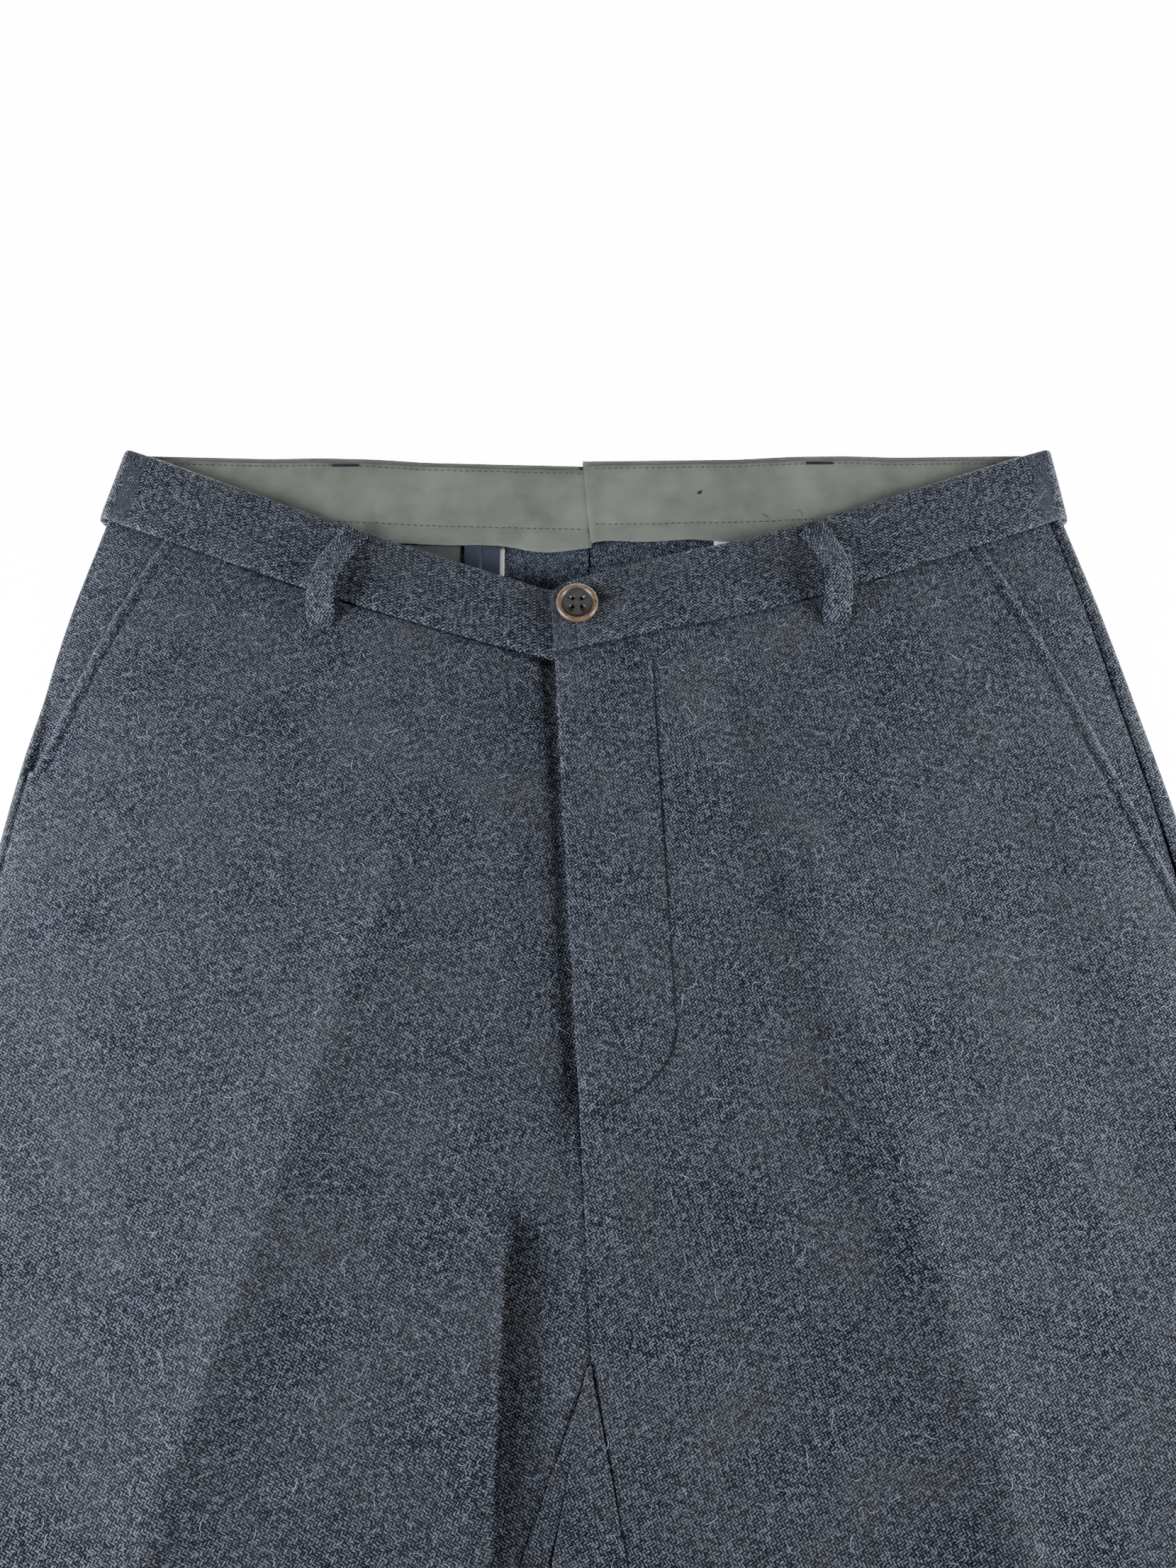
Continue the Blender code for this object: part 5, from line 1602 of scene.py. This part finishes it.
def spindles(name, paths, radii, sides, material, slot, shape=0.5):
    """One mesh of closed spindles: paths is (count, points, 3) in lay-out millimetres."""
    paths = np.asarray(paths, dtype=float)
    count, points, _ = paths.shape
    radii = np.broadcast_to(np.asarray(radii, dtype=float), (count,))
    tangent = np.gradient(paths, axis=1)
    side = np.cross(tangent, (0.0, 0.0, 1.0)) + 1e-9
    side /= np.linalg.norm(side, axis=2, keepdims=True)
    up = np.cross(side, tangent)
    up /= np.linalg.norm(up, axis=2, keepdims=True) + 1e-12
    profile = np.sin(np.linspace(0.0, math.pi, points))[1:-1] ** shape
    turn = np.arange(sides) * math.tau / sides
    ring = (np.cos(turn)[:, None] * side[:, 1:-1, None, :]
            + np.sin(turn)[:, None] * up[:, 1:-1, None, :])
    ring = paths[:, 1:-1, None, :] + ring * (radii[:, None] * profile)[:, :, None, None]
    verts = np.concatenate([paths[:, :1], ring.reshape(count, -1, 3), paths[:, -1:]], axis=1)
    each = 2 + (points - 2) * sides
    pattern = []
    for i in range(sides):
        j = (i + 1) % sides
        pattern.append((0, 1 + j, 1 + i))
        for k in range(points - 3):
            a, b = 1 + k * sides, 1 + (k + 1) * sides
            pattern += [(a + i, a + j, b + j), (a + i, b + j, b + i)]
        last = 1 + (points - 3) * sides
        pattern.append((last + i, last + j, each - 1))
    faces = (np.arange(count)[:, None, None] * each + np.array(pattern)).reshape(-1, 3)
    flat = verts.reshape(-1, 3) / 1000.0 + np.array(ORIGIN)
    mesh = bpy.data.meshes.new(name)
    mesh.from_pydata(flat.tolist(), [], faces.tolist())
    mesh.materials.append(material)
    mesh.shade_smooth()
    piece = bpy.data.objects.new(name, mesh)
    bpy.context.scene.collection.objects.link(piece)
    print(name, count, "spindles,", len(faces), "triangles")
    return dress(piece, slot)


# %% [markdown]
# A line of stitches is a row of short threads with small gaps, each sunk at its ends. The J of the
# fly and the pocket edges are sewn in thread of the cloth's colour, so they show more as a groove
# than as a line, and a thin near-black strand laid in the fly's groove is painted shadow. The
# curtain is sewn in dark olive.

# %% Stitches
QUARTERS = (0.0, 0.25, 0.5, 0.75, 1.0)   # the five points of a stitch
TWILL_STITCH = (2.6, 0.5)                # length and gap
LINING_STITCH = (2.2, 0.6)
CURTAIN_TOP_LINE = 1.8                   # the upper line of stitches, below the top edge


def stitch_line(path, length, gap, sunk=0.12, proud=0.12):
    """Paths of the stitches along a polyline of x and y."""
    path = np.asarray(path, dtype=float)
    run = np.concatenate([[0.0], np.cumsum(np.linalg.norm(np.diff(path, axis=0), axis=1))])
    stitches = []
    start = 0.0
    while start + length < run[-1]:
        stitch = []
        for share in QUARTERS:
            at = start + share * length
            x, y = np.interp(at, run, path[:, 0]), np.interp(at, run, path[:, 1])
            z = surface_z(x, y)
            if z is None:
                break
            stitch.append((x, y, z + proud * math.sin(math.pi * share) - sunk * (share in (0, 1))))
        if len(stitch) == 5:
            stitches.append(stitch)
        start += length + gap
    return stitches


# %% Where the lines of stitches run
def pocket_path(half):
    """Along the slanted mouth, a little inside its edge."""
    path = []
    for i in range(60):
        row = body_row(half, lerp(1.5 / ROW_RUN, half.pocket_t - 0.004, i / 59))
        outer, _ = front_edges(row)
        x, y, _ = top_point(row, outer + POCKET_STITCH)
        path.append((x, y))
    return path


def curtain_path(half, fall, from_side=2.0):
    """Along the curtain, this far below its top edge."""
    path = []
    for i in range(50):
        x = half.sign * lerp(3.0, CURTAIN_SIDE_X - from_side, i / 49)
        path.append((x, band_back_y(half, x, True) - CURTAIN_TOP_GAP - fall))
    return path


def bar_tack(x, y, width, height, count):
    """Dense short stitches side by side, over a bar of this size."""
    tacks = []
    for i in range(count):
        px = x + lerp(-width / 2, width / 2, i / (count - 1))
        stitch = []
        for share in QUARTERS:
            py = y + (share - 0.5) * height
            stitch.append((px, py, (surface_z(px, py) or 0.0) + 0.2 * math.sin(math.pi * share)))
        tacks.append(stitch)
    return tacks


wool_stitches = stitch_line(FLY_STITCH, *TWILL_STITCH)
for half in HALVES:
    wool_stitches += stitch_line(pocket_path(half), *TWILL_STITCH)
spindles("stitches_wool", wool_stitches, 0.16, 4, NAVY_THREAD, "wool")

# A near-black strand along the fly's stitch line: painted shadow in its groove
groove = [(x, y, surface_z(x, y) + 0.06) for x, y in FLY_STITCH]
spindles("fly_groove_painted_shadow", [groove], 0.27, 5, PAINTED_GAP_SHADOW, "wool", shape=0.12)

curtain_stitches = []
for half in HALVES:
    curtain_stitches += stitch_line(curtain_path(half, CURTAIN_LINE), *LINING_STITCH)
    curtain_stitches += stitch_line(curtain_path(half, CURTAIN_TOP_LINE), *LINING_STITCH)
spindles("stitches_curtain", curtain_stitches, 0.22, 4, OLIVE_THREAD, "lining")

# %% [markdown]
# The curtain has been worn. Small dark strands side by side make its burnt hole and pin holes, a
# zigzag of pale ones its two pulled places, and two dark ends of thread hang out below it.

# %% Wear of the curtain
Mark = namedtuple("Mark", "x y length width count")
WORN_HOLES = [Mark(50.1, 361.7, 2.2, 0.62, 5), Mark(126.6, 365.6, 0.7, 0.2, 1),
              Mark(129.2, 364.4, 0.7, 0.2, 1), Mark(128.2, 367.2, 0.7, 0.2, 1)]
SNAGS = [Mark(-17.5, 357.8, 5.4, 0.16, 6), Mark(12.2, 360.6, 6.0, 0.16, 6)]


def short_strand(x, y, length, heading, proud, bend=0.0):
    """Five points of one short thread centred on x and y."""
    strand = []
    for share in QUARTERS:
        reach = (share - 0.5) * length
        px = x + reach * math.cos(heading) - bend * math.sin(math.pi * share) * math.sin(heading)
        py = y + reach * math.sin(heading) + bend * math.sin(math.pi * share) * math.cos(heading)
        strand.append((px, py, surface_z(px, py) + proud * math.sin(math.pi * share)))
    return strand


holes, hole_widths, snags = [], [], []
for mark in WORN_HOLES:
    for i in range(mark.count):
        shift = (i - (mark.count - 1) / 2) * 0.34
        holes.append(short_strand(mark.x + shift, mark.y + 0.2 * shift,
                                  mark.length * (1.0 - 0.22 * abs(shift)), 1.35, 0.04))
        hole_widths.append(mark.width * 0.55)
spindles("worn_holes", holes, hole_widths, 5, BROWN_MARK, "lining")
for mark in SNAGS:
    for i in range(mark.count):
        x = mark.x + lerp(-mark.length / 2, mark.length / 2, i / (mark.count - 1))
        turn = 0.9 if i % 2 else -0.9
        snags.append(short_strand(x, mark.y + 0.5 * math.sin(i * 2.1), 1.5, turn, 0.2, 0.2))
spindles("curtain_snags", snags, 0.13, 4, SNAG_THREAD, "lining")
loose = [short_strand(93.9, 349.7, 5.4, -1.05, 1.1, 0.7),
         short_strand(79.0, 349.4, 5.0, 2.5, 1.0, 0.5)]
spindles("loose_threads", loose, 0.16, 5, NAVY_THREAD, "lining")

# %% [markdown]
# The back loops are caught on the inside of the band with a bar tack each, a dense bar of stitches
# side by side, which shows as a dark dash above the curtain.

# %% Bar tacks
TACK_DOWN = 4.6           # below the band's top edge, where a back loop is caught
tacks = []
for line in BACK_LOOPS:
    half = LEFT if line.x0 < 0 else RIGHT
    tacks += bar_tack(line.x0, band_back_y(half, line.x0, True) - TACK_DOWN, 11.7, 1.8, 24)
spindles("bar_tacks", tacks, 0.26, 4, NAVY_THREAD, "lining")

# %% [markdown]
# The buttonhole runs out from under the button along the band. Dense purl stitches edge its slit,
# and the button itself hangs on a cross of dark thread.

# %% Buttonhole
HOLE_FROM, HOLE_TO = 2.0, 16.5
HOLE_LIPS = (0.35, 1.5)   # the purl reaches from the slit's lip to here
BAND_RISES = band_front_y(RIGHT, 20.0, True) - band_front_y(RIGHT, 0.0, True)
HOLE_SLOPE = math.degrees(math.atan2(BAND_RISES, 20.0))
print("the buttonhole slopes", round(HOLE_SLOPE, 1), "degrees with the band")


def buttonhole_spot(distance, across):
    """A spot this far along and across the buttonhole."""
    turn = math.radians(HOLE_SLOPE)
    x = BUTTON_X + distance * math.cos(turn) - across * math.sin(turn)
    y = BUTTON_Y + distance * math.sin(turn) + across * math.cos(turn)
    return x, y


purl = []
for i in range(34):
    distance = lerp(HOLE_FROM, HOLE_TO, i / 33)
    for side in (-1, 1):
        stitch = []
        for share in QUARTERS:
            x, y = buttonhole_spot(distance, side * lerp(*HOLE_LIPS, share))
            swell = 0.32 * math.sin(math.pi * (0.25 + 0.75 * share))
            stitch.append((x, y, surface_z(x, y) + swell))
        purl.append(stitch)
spindles("buttonhole_purl", purl, 0.2, 5, NAVY_THREAD, "wool_band")

# %% The slit, a near-black strand of painted shadow, and the thread crossed over the button
slit = []
for share in np.linspace(0.0, 1.0, 9):
    x, y = buttonhole_spot(lerp(HOLE_FROM, HOLE_TO - 0.4, share), 0.0)
    slit.append((x, y, surface_z(x, y) + 0.1))
spindles("buttonhole_slit_painted_shadow", [slit], 0.62, 6, PAINTED_GAP_SHADOW, "wool_band")

cross = []
half_pitch = BUTTON_HOLE_PITCH / 2
for sign in (-1, 1):
    for nudge in (-0.16, 0.16):
        strand = []
        for share in np.linspace(0.0, 1.0, 9):
            x = BUTTON_X + lerp(-half_pitch, half_pitch, share) + nudge
            y = BUTTON_Y + sign * lerp(-half_pitch, half_pitch, share) - sign * nudge
            dip = 1.6 * (abs(2 * share - 1) ** 6)
            strand.append((x, y, BUTTON_SEAT + 2.62 + 0.12 * (sign > 0) - dip))
        cross.append(strand)
spindles("button_thread", cross, 0.24, 6, BUTTON_THREAD, "horn")

# %% [markdown]
# Brushed wool is covered in loose fibres. Most are short, grey and lie almost flat; a few are pale,
# longer and curl up. They are what the eye reads as wool, most of all along folds and edges, where
# they stand against the light.

# %% Loose fibres
FIBRE_POINTS = 6
rng = random.Random(11)
VIEW_X = (-262.0, 262.0)  # what the camera sees
VIEW_Y = (-95.0, 385.0)
LEGS_X = (-440.0, 440.0)  # and what lies below its view
LEGS_Y = (-730.0, -95.0)
IN_VIEW = 0.82            # share of the fibres


def on_wool(x, y):
    """False over the curtain and the pocket cloths, which are smooth."""
    half = RIGHT if x > FLY_TOP_X else LEFT
    if abs(x) < CURTAIN_SIDE_X and y > band_front_y(half, x, True) + 1.0:
        return False
    return math.dist((x, y), (BUTTON_X, BUTTON_Y)) > BUTTON_R + 0.5


def fibre(x, y, length, curl, lift):
    """A short curly path that starts on the cloth and hugs it."""
    heading = rng.uniform(0.0, math.tau)
    bend = rng.uniform(-curl, curl)
    step = length / (FIBRE_POINTS - 1)
    path = []
    for k in range(FIBRE_POINTS):
        z = surface_z(x, y)
        if z is None:
            return None
        rise = lift * math.sin(math.pi * k / (FIBRE_POINTS - 1)) + 0.1
        path.append((x, y, z + rise))
        x += step * math.cos(heading)
        y += step * math.sin(heading)
        heading += bend + rng.uniform(-0.35, 0.35)
    return path


def scatter(count, length, curl, lift):
    """Random fibres on the wool in the camera's view, and fewer down the legs."""
    paths = []
    while len(paths) < count:
        if rng.random() < IN_VIEW:
            x, y = rng.uniform(*VIEW_X), rng.uniform(*VIEW_Y)
        else:
            x, y = rng.uniform(*LEGS_X), rng.uniform(*LEGS_Y)
        if not on_wool(x, y):
            continue
        path = fibre(x, y, rng.uniform(*length), curl, rng.uniform(*lift))
        if path:
            paths.append(path)
    return paths


GREY_COUNT, PALE_COUNT = ((5600, 1300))
grey = scatter(GREY_COUNT, (1.2, 3.2), 0.6, (0.05, 0.3))
spindles("fibres_grey", grey, [rng.uniform(0.045, 0.075) for _ in grey], 3, GREY_FIBRE, "wool")
pale = scatter(PALE_COUNT, (2.2, 7.5), 0.5, (0.15, 0.7))
spindles("fibres_pale", pale, [rng.uniform(0.045, 0.09) for _ in pale], 3, PALE_FIBRE, "wool")

# %% [markdown]
# The last step lists each cloth's real cut, with its width, length and area and what it rests on,
# and prints the area of each skin beside that of its cut, and the skins that have no cut.

# %% Cloth cuts, and the skins' areas beside them
Cut = namedtuple("Cut", "piece width length area rests_on")
CUTS = [
    Cut("front_left", 0.330, 1.085, 0.258, ["back_left", "facing_left"]),
    Cut("front_right", 0.310, 1.080, 0.246, ["back_right", "facing_right"]),
    Cut("back_left", 0.350, 1.095, 0.261, ["table"]),
    Cut("back_right", 0.395, 1.095, 0.310, ["table"]),
    Cut("facing_left", 0.084, 0.130, 0.0063, ["back_left"]),
    Cut("facing_right", 0.088, 0.186, 0.0079, ["back_right"]),
    Cut("band_left", 0.035, 0.470, None, ["table"]),
    Cut("band_right", 0.035, 0.457, None, ["table"]),
    Cut("curtain_left_skin", 0.198, 0.0405, None, ["band_left"]),
    Cut("curtain_right_skin", 0.198, 0.039, None, ["band_right"]),
    Cut("belt_loop_front_left_skin", 0.0123, 0.056, None, ["band_left"]),
    Cut("belt_loop_front_right_skin", 0.0123, 0.056, None, ["band_right"]),
    Cut("belt_loop_back_left_skin", 0.0123, 0.048, None, ["table"]),
    Cut("belt_loop_back_right_skin", 0.0123, 0.048, None, ["table"]),
    Cut("pocketing_skin", 0.0746, 0.074, 0.0052, ["back_left"]),
    Cut("pocket_cloth_skin", 0.0198, 0.074, None, ["back_left"]),
    Cut("seam_binding_outer_skin", 0.0102, 0.074, None, ["pocket_cloth_skin"]),
    Cut("seam_binding_inner_skin", 0.0102, 0.074, None, ["pocket_cloth_skin"]),
    Cut("blank_tag_skin", 0.028, 0.040, None, ["back_right"]),
]
cloths = {piece.name: piece for piece in PIECES}
for cut in CUTS:
    piece = cloths.pop(cut.piece)
    skin_area = sum(face.area for face in piece.data.polygons)
    print(cut.piece, "skin", round(skin_area, 4), "cut", cut.area or cut.width * cut.length)
print("cloths without a cut", list(cloths))
